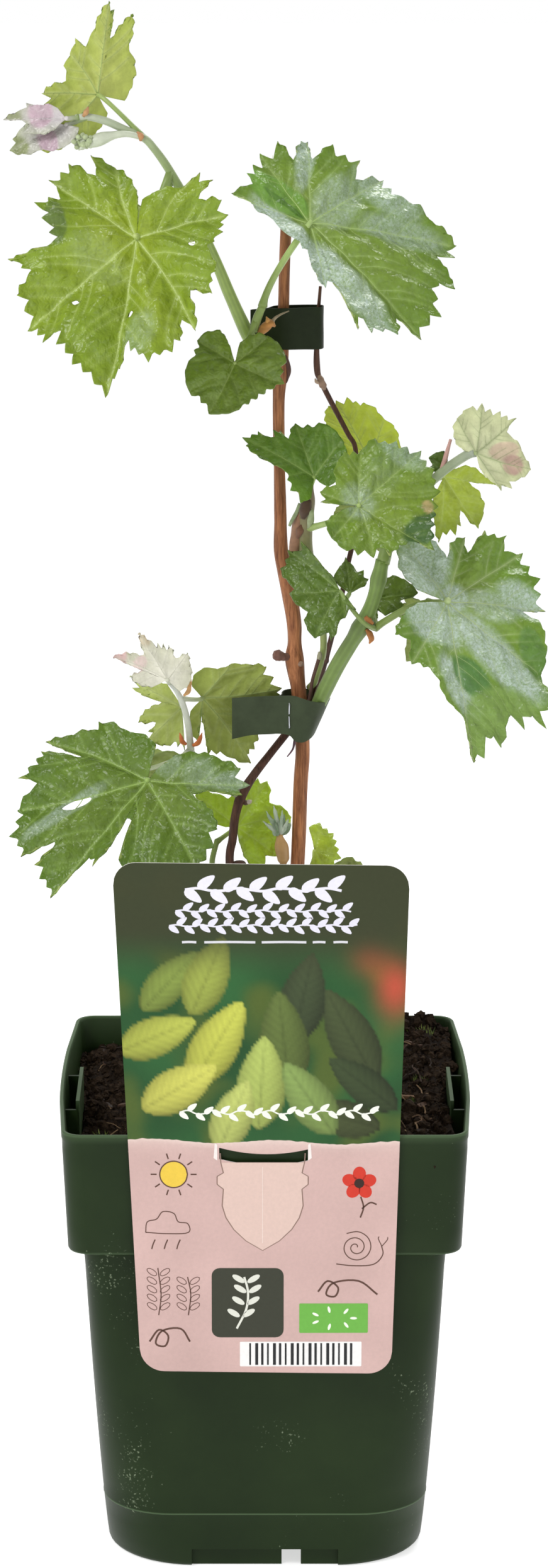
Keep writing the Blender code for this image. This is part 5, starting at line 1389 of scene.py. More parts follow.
# The growing tip: the two big blades below it, and woolly new ones still opening at its end.
grow_mass(
    "top_foliage",
    ((-24.7, -20.5, 444.35), (-30.1, -22, 454.1), (-34.3, -23.5, 460.3), (-37.6, -24, 463.7),
     (-43.9, -25, 466.6), (-49.3, -26, 469.1), (-54.7, -26.5, 470.4), (-58.4, -26.6, 470.2)),
    (1.5, 1.3, 1.2, 1.2, 1.2, 1.2, 1.1, 0.9),
    leaf(
        0.42, (-51.9, -18.5, 476.3), (0.13, 0.18, 0.98), (-0.24, 0.96, -0.14),
        ((-219, 6.5), (-196, 9.9), (-160, 16.4), (-140, 25.9), (-108, 17), (-97, 17.7), (-74, 10.6),
         (-42, 15.4), (-30, 18.7), (-14, 19), (-2, 28.7), (3, 26.5), (5, 17.6), (16, 27.2), (28, 17.2),
         (70, 11.5), (93, 9)),
        "7c962a 728d27 aabe6b", "b4bd63 9fae4c cdd393", puff=0.45, teeth=0.8,
    ),
    leaf(
        0.12, (-40.1, -37, 435.3), (-0.16, -0.52, -0.84), (-0.19, -0.82, 0.54),
        ((-178, 8.2), (-173, 15.1), (-155, 25.4), (-144, 30.4), (-140, 24.1), (-131, 32.1), (-119, 35.6),
         (-115, 29.5), (-102, 33.4), (-93, 29.2), (-75, 25.6), (-70, 39.4), (-60, 34.7), (-53, 40.8),
         (-41, 44.3), (-30, 44.6), (-29, 39.8), (-24, 43.2), (-14, 47), (-1, 53.1), (1, 46.7), (3, 43.9),
         (5, 35), (8, 39.1), (16, 44.8), (26, 42.9), (31, 39.9), (36, 32.6), (39, 37.7), (50, 27.1),
         (56, 34.6), (67, 31.4), (79, 25.9), (92, 28.9), (108, 29.6), (116, 29), (125, 22.5), (129, 29.2),
         (138, 27.4), (143, 19.5), (162, 14.2), (176, 11.5)),
        "90a428 738f1d bcce79", "a3b059 98a750 c3cc8c", stalk=1.1, cup=0.06, puff=1.5, tooth=4.6,
        teeth=0.55,
        holes=((19.1, 2.4, 1.3, 1, 30), (-14.7, 23.9, 1.3, 1, 0), (2.8, 25.7, 1, 1.2, 0)),
        # patches: the dark green one is painted shade along a fold; the numbered ones are silvery sheen,
        # partly the down's own colour and partly painted reflection
        patches=((-25, -1, 8, 3.4, 70, "5f7630"), (7.3, 32.7, 5, 7, 10, 0.25), (-10, 9, 10, 6, 40, 0.12)),
    ),
    leaf(
        0.96, (-61.4, -28.6, 470.3), (-0.98, 0.1, -0.03), (-0.19, -0.89, 0.42),
        ((-52, 3.9), (-29, 9), (-23, 13.7), (-13, 15.2), (-4, 20.7), (-2, 14.2), (19, 14), (30, 10),
         (52, 4.9)),
        "c6bfc0 a9ae92 cfcac8", cup=0.1, puff=0.5,
        patches=((-2, 8, 5, 4, 0, "bda3ae"), (0, 18, 5, 4, 0, "8b9169")),
    ),
    leaf(
        0.86, (-61.5, -26.6, 468), (-0.91, -0.05, -0.41), (-0.1, -0.94, 0.34),
        ((-36, 8.4), (-20, 13.9), (-10, 17.1), (-2, 19.2), (25, 10.2), (59, 7.6), (96, 5.6), (141, 4.4)),
        "c2bdbd a3aa88 c9c6c2", cup=0.1, puff=0.5,
        patches=((2, 7, 5, 3, 0, "b99fab"), (0, 17, 4, 4, 0, "87905f")),
    ),
    rear_leaf(0.1, (-36, -6, 433), (-0.3, 0.45, -0.84), (0.1, 0.8, 0.55), 23),
    sprigs=((
        ((-37.6, -24.2, 463.7), (-42, -26, 465), (-45.8, -27, 464.9), (-51.2, -28, 463.4),
         (-57.6, -29, 460.7)),
        (1, 1, 1.2, 2.1, 0.5), "c6cdb6",
    ),),
    tone=("7f9450", "b9c0ac"),
)

# Two blades on the spur at the top tie, one small, one broad and silvery.
grow_mass(
    "upper_foliage",
    ((-3.5, -12.4, 402), (-2.4, -13.8, 406.2), (-0.6, -15, 410.4)),
    (1.4, 1.4, 1.2),
    leaf(
        0.5, (-9.5, -20, 393), (0.11, -0.52, -0.85), (-0.1, -0.85, 0.51),
        ((-172, 5.7), (-164, 11.9), (-131, 14.6), (-100, 14.5), (-58, 17.3), (-33, 18.4), (-1, 16),
         (58, 17.4), (80, 16.5), (122, 13.6), (158, 6.7)),
        "6d8529 647d27 a0b566", "8f9f51 879849 b0bb7e", cup=0.1,
    ),
    leaf(
        0.95, (14.7, -16, 437.2), (0.96, 0.19, -0.19), (0.26, -0.76, 0.6),
        ((-96, 11), (-77, 23.6), (-71, 22), (-70, 34.5), (-69, 41.4), (-65, 38.2), (-64, 43.8), (-53, 46.7),
         (-45, 40.4), (-42, 50.6), (-31, 50.5), (-20, 44.8), (-17, 50), (-6, 42.2), (-3, 48), (3, 48.8),
         (12, 39.2), (25, 32.4), (41, 31.3), (52, 22.1), (58, 27.6), (79, 27.6), (91, 22.2), (94, 28.7),
         (99, 28.3), (109, 21.2), (116, 28.3), (129, 27.6), (141, 25.5), (150, 25.1), (154, 21.6),
         (166, 26.4), (168, 19.7), (188, 12.4), (247, 10.6), (255, 12.3), (263, 11.4)),
        "7a9437 60801f adc679", "a3b16e 98a863 c0ca9a", stalk=1.15, via=(0.6, -16.5, 418.6), cup=0.1,
        puff=1.1, tooth=4.4, teeth=0.5,
        # patches: the numbered ones are silvery sheen, partly the down's own colour and partly painted
        # reflection; the two green ones are painted shade along a fold
        patches=((-6, -9, 14, 5.5, 140, 0.95), (-16, 3, 10, 7, 130, 0.9), (-24, 14, 13, 6.5, 137, 0.75),
                 (-36, 22, 8, 4, 140, 0.6), (22, -3, 11, 3, 5, 0.75), (14, 24, 12, 6, -60, 0.6),
                 (2, 30, 14, 5, 95, 0.5), (8, 8, 9, 7, 30, 0.5), (8, -11.5, 12, 4.8, -62, "6f9a3a"),
                 (5, -9, 8, 0.9, -62, "557c2c")),
    ),
)

grow_mass(
    "rear_top_foliage",
    ((6.4, 0, 432.2), (7.5, 2.5, 434), (10, 8, 437), (14, 12, 438)),
    (1.7, 1.4, 1.2, 1),
    rear_leaf(0.9, (25, 15, 436), (0.45, 0.45, -0.75), (0.1, 0.8, 0.55), 22),
)

# The side shoot in the middle, with its soft pale tip.
grow_mass(
    "middle_foliage",
    ((37.5, -15, 327.8), (40.2, -12.6, 336.7), (46.2, -11.8, 346.7), (55.6, -16, 357), (63.3, -20, 363.4),
     (66.2, -22, 364.6)),
    (2.2, 1.9, 1.6, 1.5, 1.5, 1.3),
    leaf(
        0.35, (34.3, 12, 354.8), (-0.47, -0.06, 0.88), (0.26, 0.94, 0.21),
        ((-66, 10.5), (-28, 13.9), (-16, 21.3), (-3, 24.6), (5, 25.6), (13, 25.4), (24, 22.5), (44, 17.2),
         (80, 12.5), (112, 10.5)),
        "98ae33 90a52c afc463", "c3d348 b4c53c d3dd81", cup=0.2, puff=0.45, teeth=0.5,
    ),
    leaf(
        0.55, (57.7, 6, 352), (0.55, -0.15, -0.82), (0.1, -0.96, 0.24),
        ((-62, 7.7), (-46, 15.1), (-38, 21.2), (-31, 18.8), (-22, 19.3), (-14, 16.9), (-7, 12), (1, 20.2),
         (15, 17.5), (45, 8.1), (47, 13.5), (49, 19.7), (51, 17.7), (61, 12.3), (73, 10.5), (96, 3.2)),
        "a9ba3d 9bad35 bccc71", "aebc54 a3b24c c9d287", puff=0.4, teeth=0.55,
    ),
    leaf(
        0.97, (66.4, -22, 364.5), (0.13, 0.45, 0.88), (-0.19, 0.89, -0.42),
        ((-85, 3.3), (-62, 8.7), (-37, 12.5), (-12, 15), (-2, 15.9), (22, 16.2), (40, 17.6), (46, 12.5),
         (80, 15.4), (96, 18.4), (116, 15.4), (126, 16), (139, 14.4), (145, 10), (157, 4.6)),
        "c3c99a b5bf88 a9b584", "ced2a8 c2c896 aab488", puff=0.35, teeth=0.6,
        blush=((9, 2.5, 5, 3, 20, "c9b59c"), (12.5, -1.5, 3.4, 3.4, 0, "b99a8c")),
    ),
    leaf(
        0.8, (58.1, -12, 358.5), (-0.88, -0.19, 0.43), (0.19, -0.98, -0.04),
        ((-58, 2.4), (-50, 5.4), (1, 6.7), (31, 6.5), (56, 3.3)),
        "4d671f 48621b 799052", "6f8240 6a7d3b 93a268", fold=0.3, cup=0.2,
    ),
    rear_leaf(0.3, (36, 22, 343), (0.2, 0.45, -0.85), (0.1, 0.8, 0.55), 22),
    sprigs=((
        ((56, -16.2, 357.5), (57, -17, 362), (58.6, -19, 368.4)), (1, 0.8, 0.5), "b98f86",
    ),),
    tone=("7b9148", "9aa390"),
)

grow_mass(
    "right_foliage",
    ((35.2, -14.8, 306.6), (38.4, -16.8, 309.4), (45.1, -18.4, 313.7), (52.8, -20.5, 316.5)),
    (1.3, 1.15, 1.1, 1.2),
    leaf(
        0.01, (23.8, -20.5, 320.3), (-0.94, 0.17, 0.3), (-0.03, -0.9, 0.43),
        ((-44, 4.5), (-35, 9.1), (-33, 20.3), (-31, 19.7), (-26, 18.2), (-20, 21.9), (-2, 20.5), (13, 15.9),
         (23, 16), (56, 12.5), (61, 15.2), (84, 17.9), (92, 15.4), (101, 17.4), (111, 10.1), (121, 9.4),
         (148, 8.5), (151, 3.6)),
        "536d20 4d661d 869d57", "778948 6f8240 9aa86f", via=(31, -26, 309), fold=0.2, puff=0.5,
    ),
    leaf(
        0.95, (58.4, -26, 318.4), (0.51, -0.4, -0.76), (0.3, -0.75, 0.59),
        ((-102, 12.6), (-93, 19.3), (-82, 25.3), (-71, 21.7), (-60, 27.5), (-45, 28.5), (-25, 39.5),
         (-23, 54.4), (-19, 53.4), (-15, 47.5), (-12, 50.9), (-4, 42.4), (-1, 48.3), (4, 45.7), (6, 51.7),
         (11, 47.1), (23, 37.7), (44, 32.3), (57, 24.8), (59, 32.7), (77, 31.8), (96, 31.9), (104, 26.9),
         (110, 31.3), (123, 27.8), (127, 19.1), (133, 24.3), (147, 19.9), (151, 14), (160, 20), (177, 23.9),
         (184, 27.9), (202, 21.1), (235, 11.4), (238, 6.1)),
        "809c3d 638724 b6c98c", "a3b16e 98a863 c0ca9a", stalk=1.2, cup=0.08, puff=1, tooth=4.6, teeth=0.5,
        # patches: the numbered ones are silvery sheen, partly the down's own colour and partly painted
        # reflection; the two narrow dark green ones are painted shade in folds
        patches=((-2, -13, 12, 8.5, 140, 1), (-9, 4, 11, 7, 60, 0.95), (-13, 27, 4.6, 11, 0, 0.95),
                 (4, 23, 19, 6, 77, 0.95), (22, 11, 9, 5, 60, 0.85), (12, 8, 8, 5, 50, 0.6),
                 (-7.5, 26, 4.5, 9, -8, "56813f"), (-7, 44, 13, 13, 0, "7c9a4a"),
                 (16, 28, 4, 9, 10, "5f8538"), (2, 0, 5, 5, 0, 0.9)),
    ),
    leaf(
        0.05, (33.8, -4, 313.8), (0.98, -0.11, 0.17), (-0.18, -0.8, 0.58),
        ((-102, 9.1), (-73, 7.7), (-62, 4.6), (-55, 7.7), (-18, 11.3), (-11, 9.9), (4, 15.4), (24, 13.1),
         (58, 6.4), (80, 4.7)),
        "5d7324 556d1f 8ba25a", "7d8d4c 768848 a0ad75",
    ),
    rear_leaf(0.55, (60, -2, 306), (0.35, 0.45, -0.82), (0.4, 0.7, 0.55), 27),
)

grow_mass(
    "centre_foliage",
    ((14.25, 1.25, 283.2), (16.6, 0.2, 286.8), (18.9, -3, 297.4), (18, -6, 309.4), (15.5, -7, 320),
     (13.1, -7, 329.2), (12.7, -8, 337.6), (13.6, -10, 346.2), (14, -12, 352.6)),
    (1.1, 1.1, 1.1, 1.2, 1.6, 2.4, 2.5, 2.3, 1.4),
    leaf(
        0.75, (29.6, -33, 350.3), (0.98, 0.19, 0.11), (0.09, -0.81, 0.58),
        ((-168, 5.6), (-160, 12.8), (-137, 14.8), (-115, 17.6), (-104, 18.7), (-88, 18.8), (-76, 17.3),
         (-75, 21), (-46, 21.7), (-44, 28), (-10, 25.1), (1, 26.5), (16, 26.9), (33, 27.8), (50, 24.7),
         (66, 22.9), (76, 18.9), (94, 17.6), (107, 15), (129, 9.6), (151, 12.9), (169, 12.3), (172, 7.1)),
        "7a932b 618023 a7be6e", "9cab63 93a359 bac68f", stalk=1, cup=0.05,
        # patches: the numbered ones are silvery sheen, partly the down's own colour and partly painted
        # reflection; the dark green one is painted shade on a folded flap, the tan one a spot
        patches=((16, 17, 9, 4.5, -40, 0.45), (1, 0, 6, 5, 0, 0.45), (8, 8, 8, 6, 40, 0.12),
                 (-11.6, 18.8, 4.6, 8, -20, "42632e"), (-4.3, 21.2, 2.4, 1.8, 0, "b5a26c")),
    ),
    leaf(
        0.96, (15.6, -14, 355.6), (-0.31, 0.41, 0.86), (0, -0.9, 0.43),
        ((-155, 2.4), (-149, 5.5), (-128, 6.9), (-74, 12.7), (-56, 14.8), (-23, 17.7), (0, 19.1),
         (15, 14.9), (17, 18.7), (22, 20.3), (29, 18.7), (32, 23.2), (43, 26.1), (48, 23.7), (58, 13),
         (60, 10.2), (106, 9.2), (136, 10.1), (155, 7.3)),
        "567921 628724 9bb663", "8d9c51 879649 b3bd80", fold=0.25, puff=0.5,
    ),
    leaf(
        0.34, (27.2, -10.5, 317.6), (-0.11, 0.64, 0.76), (0.09, -0.75, 0.65),
        ((-74, 5.2), (-55, 8.2), (-36, 9.1), (-14, 9.9), (-2, 13.9), (9, 10), (39, 7.2), (54, 4.2)),
        "5b7224 546d1f 869d57", "778948 6f8240 9aa86f",
    ),
    tone=("93a85e", "6e5a40"),
)

# The low shoot on the left.
grow_mass(
    "left_foliage",
    ((-23.8, -11.3, 264.3), (-24.7, -13, 273.9), (-26.1, -14, 280.8), (-28.2, -15.5, 286.1),
     (-30.8, -17.5, 289.9)),
    (1.2, 1.05, 1, 0.9, 0.8),
    leaf(
        0.97, (-31.2, -18, 290.4), (-0.51, 0.34, 0.79), (0.1, 0.94, -0.34),
        ((-83, 5.8), (-53, 12.3), (-38, 9.1), (-36, 18.9), (-12, 11.2), (0, 17.5), (9, 13.6), (24, 11.9),
         (34, 11.3), (52, 7.6), (68, 10.9), (88, 8.9), (124, 7.5), (164, 5.3)),
        "c4c8a8 b4bd92 d8d8c4", "d8d6c6 c9c9ae e8e4d8", puff=0.35, teeth=1.2, tooth=2.4,
        blush=((-9.5, 14.5, 2.6, 4.5, -33, "d3b2ae"), (0.4, 16, 1.8, 3.6, 0, "c9bba0"),
               (-5, 9, 3, 2, 30, "d8c2bc")),
    ),
    leaf(
        0.6, (-26.7, -4, 278.2), (-0.94, 0.04, -0.34), (0.19, 0.89, -0.42),
        ((-77, 14.5), (-56, 13.2), (-28, 15.5), (-18, 13.6), (-12, 9.9), (-2, 15.1), (33, 7.1), (35, 14.3),
         (37, 16.1), (39, 17.6), (46, 17.7), (74, 9.7)),
        "99a846 90a03e b0bf76", "b0bd66 a2b059 ccd49a", puff=0.4, teeth=1, tooth=2.8,
    ),
    leaf(
        0.62, (-20.4, -3, 281.3), (0.96, 0.16, 0.23), (-0.19, 0.98, 0.09),
        ((-119, 4.5), (-95, 7.7), (-48, 10.5), (-36, 14.6), (-23, 18.1), (-11, 23.2), (-1, 24.3), (8, 26.2),
         (14, 25.8), (31, 26), (60, 25.9), (65, 25.7), (68, 29), (81, 23.1), (96, 20.6), (98, 11.7),
         (106, 2.8), (107, 15), (140, 6)),
        "788c2e 71862a 99ae5f", "98a551 8a9843 c4cc88", cup=0.08, puff=0.6, teeth=0.5,
    ),
    leaf(
        0.03, (-37.8, -26, 259.8), (-0.62, -0.45, -0.65), (-0.13, -0.75, 0.65),
        ((-160, 4.8), (-158, 11.5), (-124, 16.8), (-104, 25.6), (-100, 23.6), (-86, 30.4), (-77, 36.9),
         (-75, 23.1), (-70, 36.2), (-54, 41.6), (-52, 35.4), (-41, 42.9), (-30, 47.7), (-21, 47.3),
         (-19, 38.4), (-17, 35.9), (-15, 45.2), (-10, 46.8), (-2, 48.7), (0, 36.1), (4, 32), (9, 34.6),
         (12, 28.2), (14, 15), (21, 15.4), (22, 30), (29, 35.6), (46, 35.2), (65, 38.4), (78, 35),
         (87, 31.2), (104, 16.5), (112, 22.2), (114, 32), (122, 33.4), (131, 30.5), (144, 22.6),
         (167, 11.4), (169, 4.7)),
        "667f26 537217 9bb860", "8f9e51 87984b b2bd7f", stalk=1.1, cup=0.1, tooth=4.6, teeth=0.5,
        holes=((-13.4, 19.6, 5, 1.5, -59),),
        # patches: silvery sheen, partly the down's own colour and partly painted reflection
        patches=((-15, 24, 15, 2.4, 108, 0.5), (23, -15, 8, 3.2, -35, 0.4), (13, -11, 6, 5, 0, 0.3),
                 (2, -8, 5, 4, 0, 0.3)),
    ),
    rear_leaf(0.02, (-42, 10, 257), (-0.35, 0.45, -0.82), (0.1, 0.8, 0.55), 25),
    tone=("b4b9a4", "c9ccc4"),
)

grow_mass(
    "base_left_foliage",
    ((-13, -3, 207), (-15.5, -2.5, 215), (-17.3, -1.5, 224.7), (-15.6, 0, 232.8)),
    (1.2, 1, 0.95, 0.9),
    leaf(
        0.97, (-9.1, 3, 236.4), (0.52, 0.46, 0.72), (0.19, -0.89, 0.42),
        ((-140, 4.7), (-130, 12.8), (-111, 15.4), (-92, 16.4), (-71, 13.7), (-45, 18.9), (-39, 18.1),
         (-20, 13.9), (-1, 19.3), (9, 18.1), (23, 11), (60, 11.9), (86, 17.2), (96, 14.6), (127, 4)),
        "b5d332 9fc127 c2da6d", "a9bd49 9fb240 c9d681", puff=0.5,
    ),
    rear_leaf(0.1, (-27, 24, 214), (-0.5, 0.5, -0.7), (0.1, 0.8, 0.55), 24),
)

grow_mass(
    "base_right_foliage",
    ((9.2, 4.4, 164), (12, 7, 178), (15, 9, 200), (16.4, 10, 222)),
    (1.3, 1.1, 1, 0.9),
    leaf(
        0.97, (16.4, 10, 226.6), (0.72, 0.47, 0.52), (0.19, -0.84, 0.5),
        ((-151, 6.7), (-106, 9.3), (-56, 9.4), (1, 9.2), (35, 10.1), (62, 7.8)),
        "b5ca3b 9fb930 c2d670", "b0c450 a4b844 cdd988", stalk=0.7, puff=0.5,
    ),
    rear_leaf(0.5, (25, 27, 211), (0.6, 0.5, -0.6), (0.2, 0.75, 0.6), 26),
)

grow_mass(
    "base_bud",
    ((6, -1.5, 224.6), (5.9, -1.9, 227.2), (5.4, -2.5, 231), (4.7, -3, 235.4)),
    (1, 2, 2.3, 1),
    leaf(
        0.9, (5.1, -3.2, 235), (-0.35, -0.1, 0.93), (-0.1, -0.95, 0.1),
        ((-70, 2), (-44, 6.5), (-35, 3.2), (-24, 8.6), (-16, 4.2), (-6, 10), (2, 4.4), (11, 9.4), (19, 4),
         (29, 7.6), (40, 3), (70, 2)),
        "b9c6b6 86a07c d8dccf", fold=0.6, stalk=0.6, puff=0.1, wave=0, teeth=0.15,
    ),
    leaf(
        0.9, (4.9, -2.9, 234.6), (0.02, 0.02, 1), (0.5, -0.8, 0.1),
        ((-70, 2), (-36, 5.6), (-27, 3), (-15, 7.6), (-7, 3.8), (4, 8.5), (12, 3.8), (22, 6.8), (33, 2.8),
         (70, 2)),
        "8fa284 66825a cdd4c4", fold=0.6, stalk=0.6, puff=0.1, wave=0, teeth=0.15,
    ),
    tone=("a8834f", "c79d66"),
)


# ---------------------------------------------------------------- green shoots
# This year's soft stems: pale green, finely ribbed, thicker at each joint, woolly towards the tip.
# They leave the canes at knuckles and carry the leafy shoots on.

SHOOT_SIDES, SHOOT_RIBS = 36, 9


def green_shoot(name, node, route, radii, tones, joints=()):
    """A ribbed green stem. joints are how far along it is swollen, from 0 to 1."""
    fine = 8
    path = smooth_path(route, fine)
    wide = eased(radii, fine) * MM
    along = np.linspace(0, 1, len(path))
    for place in joints:
        wide = wide * (1 + 0.22 * np.exp(-(((along - place) / 0.025) ** 2)))

    def relief(i, turn):
        spot = Vector((math.cos(turn) * 2.5, math.sin(turn) * 2.5, i * 0.05))
        return 1 + 0.03 * math.cos(SHOOT_RIBS * turn) + 0.04 * noise.noise(spot)

    points, faces = tube(path, wide, SHOOT_SIDES, relief)
    first, last = (np.array(srgb(tone)) for tone in tones)
    shades = []
    for i in range(len(path)):
        base = first + (last - first) * along[i]
        joint = sum(math.exp(-(((along[i] - place) / 0.02) ** 2)) for place in joints)
        for k in range(SHOOT_SIDES):
            rib = math.cos(SHOOT_RIBS * 2 * math.pi * k / SHOOT_SIDES)
            streak = 1 + 0.12 * rib - 0.15 * min(joint, 1)
            shades.append((*(base * streak).clip(0, 1), 1))
    obj = made(name, points, faces, (green_stem,), {"tint": shades})
    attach(obj, "root")
    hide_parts(node)


green_shoot(
    "top_shoot_stem", "top_shoot",
    (
        (2.5, -2.6, 388.6), (0.6, -4.7, 390.4), (-1.4, -6.7, 393.9), (-5, -9, 399.4), (-10.9, -12.5, 413),
        (-15.8, -16, 425.3), (-24.9, -20.55, 445),
    ),
    (1.8, 2.3, 2.4, 2.2, 1.9, 1.7, 1.6), ("7d9540", "8ba052"), joints=(0.22, 0.94),
)
green_shoot(
    "middle_shoot_stem", "middle_shoot",
    (
        (12.6, -1, 268), (14.6, -2.6, 272.5), (17, -4.6, 278.5), (19.9, -7, 285.6), (24.2, -10, 294.8),
        (31, -14, 307.5), (34.8, -15, 316.5), (37.5, -14.9, 328.8),
    ),
    (1.2, 1.9, 2.4, 2.5, 2.5, 2.4, 2.2, 2.2), ("6a813f", "718a42"), joints=(0.7, 0.93),
)
green_shoot(
    "left_shoot_stem", "left_shoot",
    ((-9.3, -4.4, 249.6), (-14.5, -8, 254), (-20.1, -10, 259), (-23.9, -11.4, 265)),
    (1.5, 1.4, 1.3, 1.2), ("8a8f62", "b3b9a0"),
)


# ---------------------------------------------------------------- ties
# Two strips of dark green plastic tape, each passed once round the canes and closed on itself. The
# lower one has its ends brought together to the left and stapled; the upper one is pressed shut.

def tape_finish(name, tone):
    """Soft plastic tape, nearly matt, with fine creases across it and a slight sheen."""
    finish = Finish(name, 0.48, Specular_IOR_Level=0.15)
    dark, light = ([share * part for part in srgb(tone)] for share in (0.82, 1.25))
    colour = finish.ramp(finish.noise(160, 4, 0.6), dark, light, 0.3, 0.75)
    return finish.made_of(colour, finish.bump(finish.noise(260, 3), 0.3, 0.0004))


def tape(name, stations, material, flare=0):
    """A strip of tape on edge. Each station is across, along, its lower edge and its upper edge (mm).

    flare is how far its right end leans out at the top and in at the bottom (mm).
    """
    lean = [flare * min(1, max(0, (x - 5) / 14)) for x, _, _, _ in stations]
    low_edge = smooth_path([(x - 1.7 * out, y, low) for (x, y, low, _), out in zip(stations, lean)], 8)
    high_edge = smooth_path([(x + out, y, high) for (x, y, _, high), out in zip(stations, lean)], 8)
    rows = 9
    points, faces = [], []
    for i, (low, high) in enumerate(zip(low_edge, high_edge)):
        ahead = low_edge[min(i + 1, len(low_edge) - 1)] - low_edge[max(i - 1, 0)]
        out = np.array((ahead[1], -ahead[0], 0)) / np.linalg.norm(ahead[:2])
        for row in range(rows):
            part = row / (rows - 1)
            spot = Vector((i * 0.11, part * 1.6, len(stations)))
            dent = 0.22 * noise.noise(spot) * math.sin(math.pi * part)
            points.append(low + (high - low) * part + out * dent * MM)
    for i in range(len(low_edge) - 1):
        for row in range(rows - 1):
            a = i * rows + row
            faces.append((a, a + rows, a + rows + 1, a + 1))
    obj = made(name, points, faces, (material,))
    stiff = obj.modifiers.new("stiff", "SOLIDIFY")
    stiff.thickness, stiff.offset = 0.35 * MM, 0
    baked(obj)
    outward(obj)
    obj.data.set_sharp_from_angle(angle=math.radians(45))
    return obj


lower_tape = tape_finish("lower_tape", "3c4632")
lower = tape(
    "lower_tie_tape",
    (
        (-10.6, -8.9, 268.8, 282.4), (-4.3, -8.8, 270.1, 282.8), (3.9, -9, 270.6, 283.1),
        (8.6, -9.7, 270.2, 283.3), (11, -10.1, 268.4, 282.6), (14, -9.8, 267.9, 281.5),
        (17, -8.3, 268.8, 280.8), (18.9, -4.8, 269.8, 280.6), (19.2, 0, 270, 281), (18, 4.4, 269.8, 281.4),
        (14.5, 7.4, 269.6, 281.6), (10, 7.4, 269.6, 281.8), (6.8, 5, 269.8, 282), (5.6, 1, 270, 282.2),
        (5.4, -3.5, 270, 282.4), (4.4, -6.7, 270.2, 282.6), (1.5, -8, 270.2, 282.6),
        (-4, -8.1, 270, 282.4), (-9.6, -8.2, 269.4, 282),
    ),
    lower_tape, flare=1.7,
)
upper = tape(
    "upper_tie_tape",
    (
        (-4.6, -1.6, 399, 407), (-1, -1.8, 397, 407.4), (2.4, -2.5, 394.8, 407.6), (6, -3.3, 394.5, 407.7),
        (12, -3.4, 394.6, 407.9), (17, -3.1, 394.6, 408), (18.5, -0.6, 394.7, 408), (17.8, 3, 394.6, 407.9),
        (14, 4.3, 394.6, 407.8), (8, 4.3, 394.6, 407.7), (3.6, 3.7, 394.7, 407.6), (1.9, 1.4, 394.9, 407.5),
        (0.6, -0.5, 396.5, 407.4), (-4.2, -0.8, 399, 407),
    ),
    tape_finish("upper_tape", "1e2715"),
)

steel = Finish("staple_wire", 0.28, Metallic=1)
steel_wire = steel.made_of(steel.ramp(steel.noise(900, 3), srgb("8c8f96"), srgb("d6d8dd")))
wire_points, wire_faces = [], []
for foot, tip in ((280.9, 277.2), (272.6, 276.6)):
    outwards = 1 if tip < foot else -1
    route = [(7.9, -8.9, foot), (7.9, -9.7, foot), (7.9, -10.05, foot - 0.5 * outwards)]
    route += [(7.85, -10.1, (foot + tip) / 2), (7.8, -9.95, tip)]
    path = smooth_path(route, 5)
    points, faces = tube(path, [0.26 * MM] * len(path), 10)
    start = len(wire_points)
    wire_points += points
    wire_faces += [tuple(start + i for i in face) for face in faces]
staple = made("lower_tie_staple", wire_points, wire_faces, (steel_wire,))
outward(staple)
for piece, node in ((lower, "lower_tie"), (staple, "lower_tie"), (upper, "upper_tie")):
    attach(piece, "root")
    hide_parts(node)


# ---------------------------------------------------------------- buds, scales and dead ends
# Small parts on the joints: round buds in scales, dry bracts, leaf scars, dead twig ends and the tight
# woolly flower cluster at the tip. Each limb's are one piece, grown from its surface.

dry_scale = stem_finish("dry_scale", 0.75)


def bead(middle, radius, tone):
    """A small round flower bud, as a part of the list below."""
    x, y, z = middle
    turns = np.radians((4, 30, 60, 90, 120, 150, 176))
    route = [(x - radius * math.cos(t), y, z + 0.2 * radius * math.cos(t)) for t in turns]
    return route, radius * np.sin(turns), tone


def flakes(number):
    """Uneven scales and fibres, different on each numbered part."""
    def relief(i, turn):
        spot = Vector((math.cos(turn) * 2, math.sin(turn) * 2, i * 0.25 + number * 7))
        return 1 + 0.16 * noise.noise(spot) + 0.05 * math.cos(5 * turn + i * 0.4)

    return relief


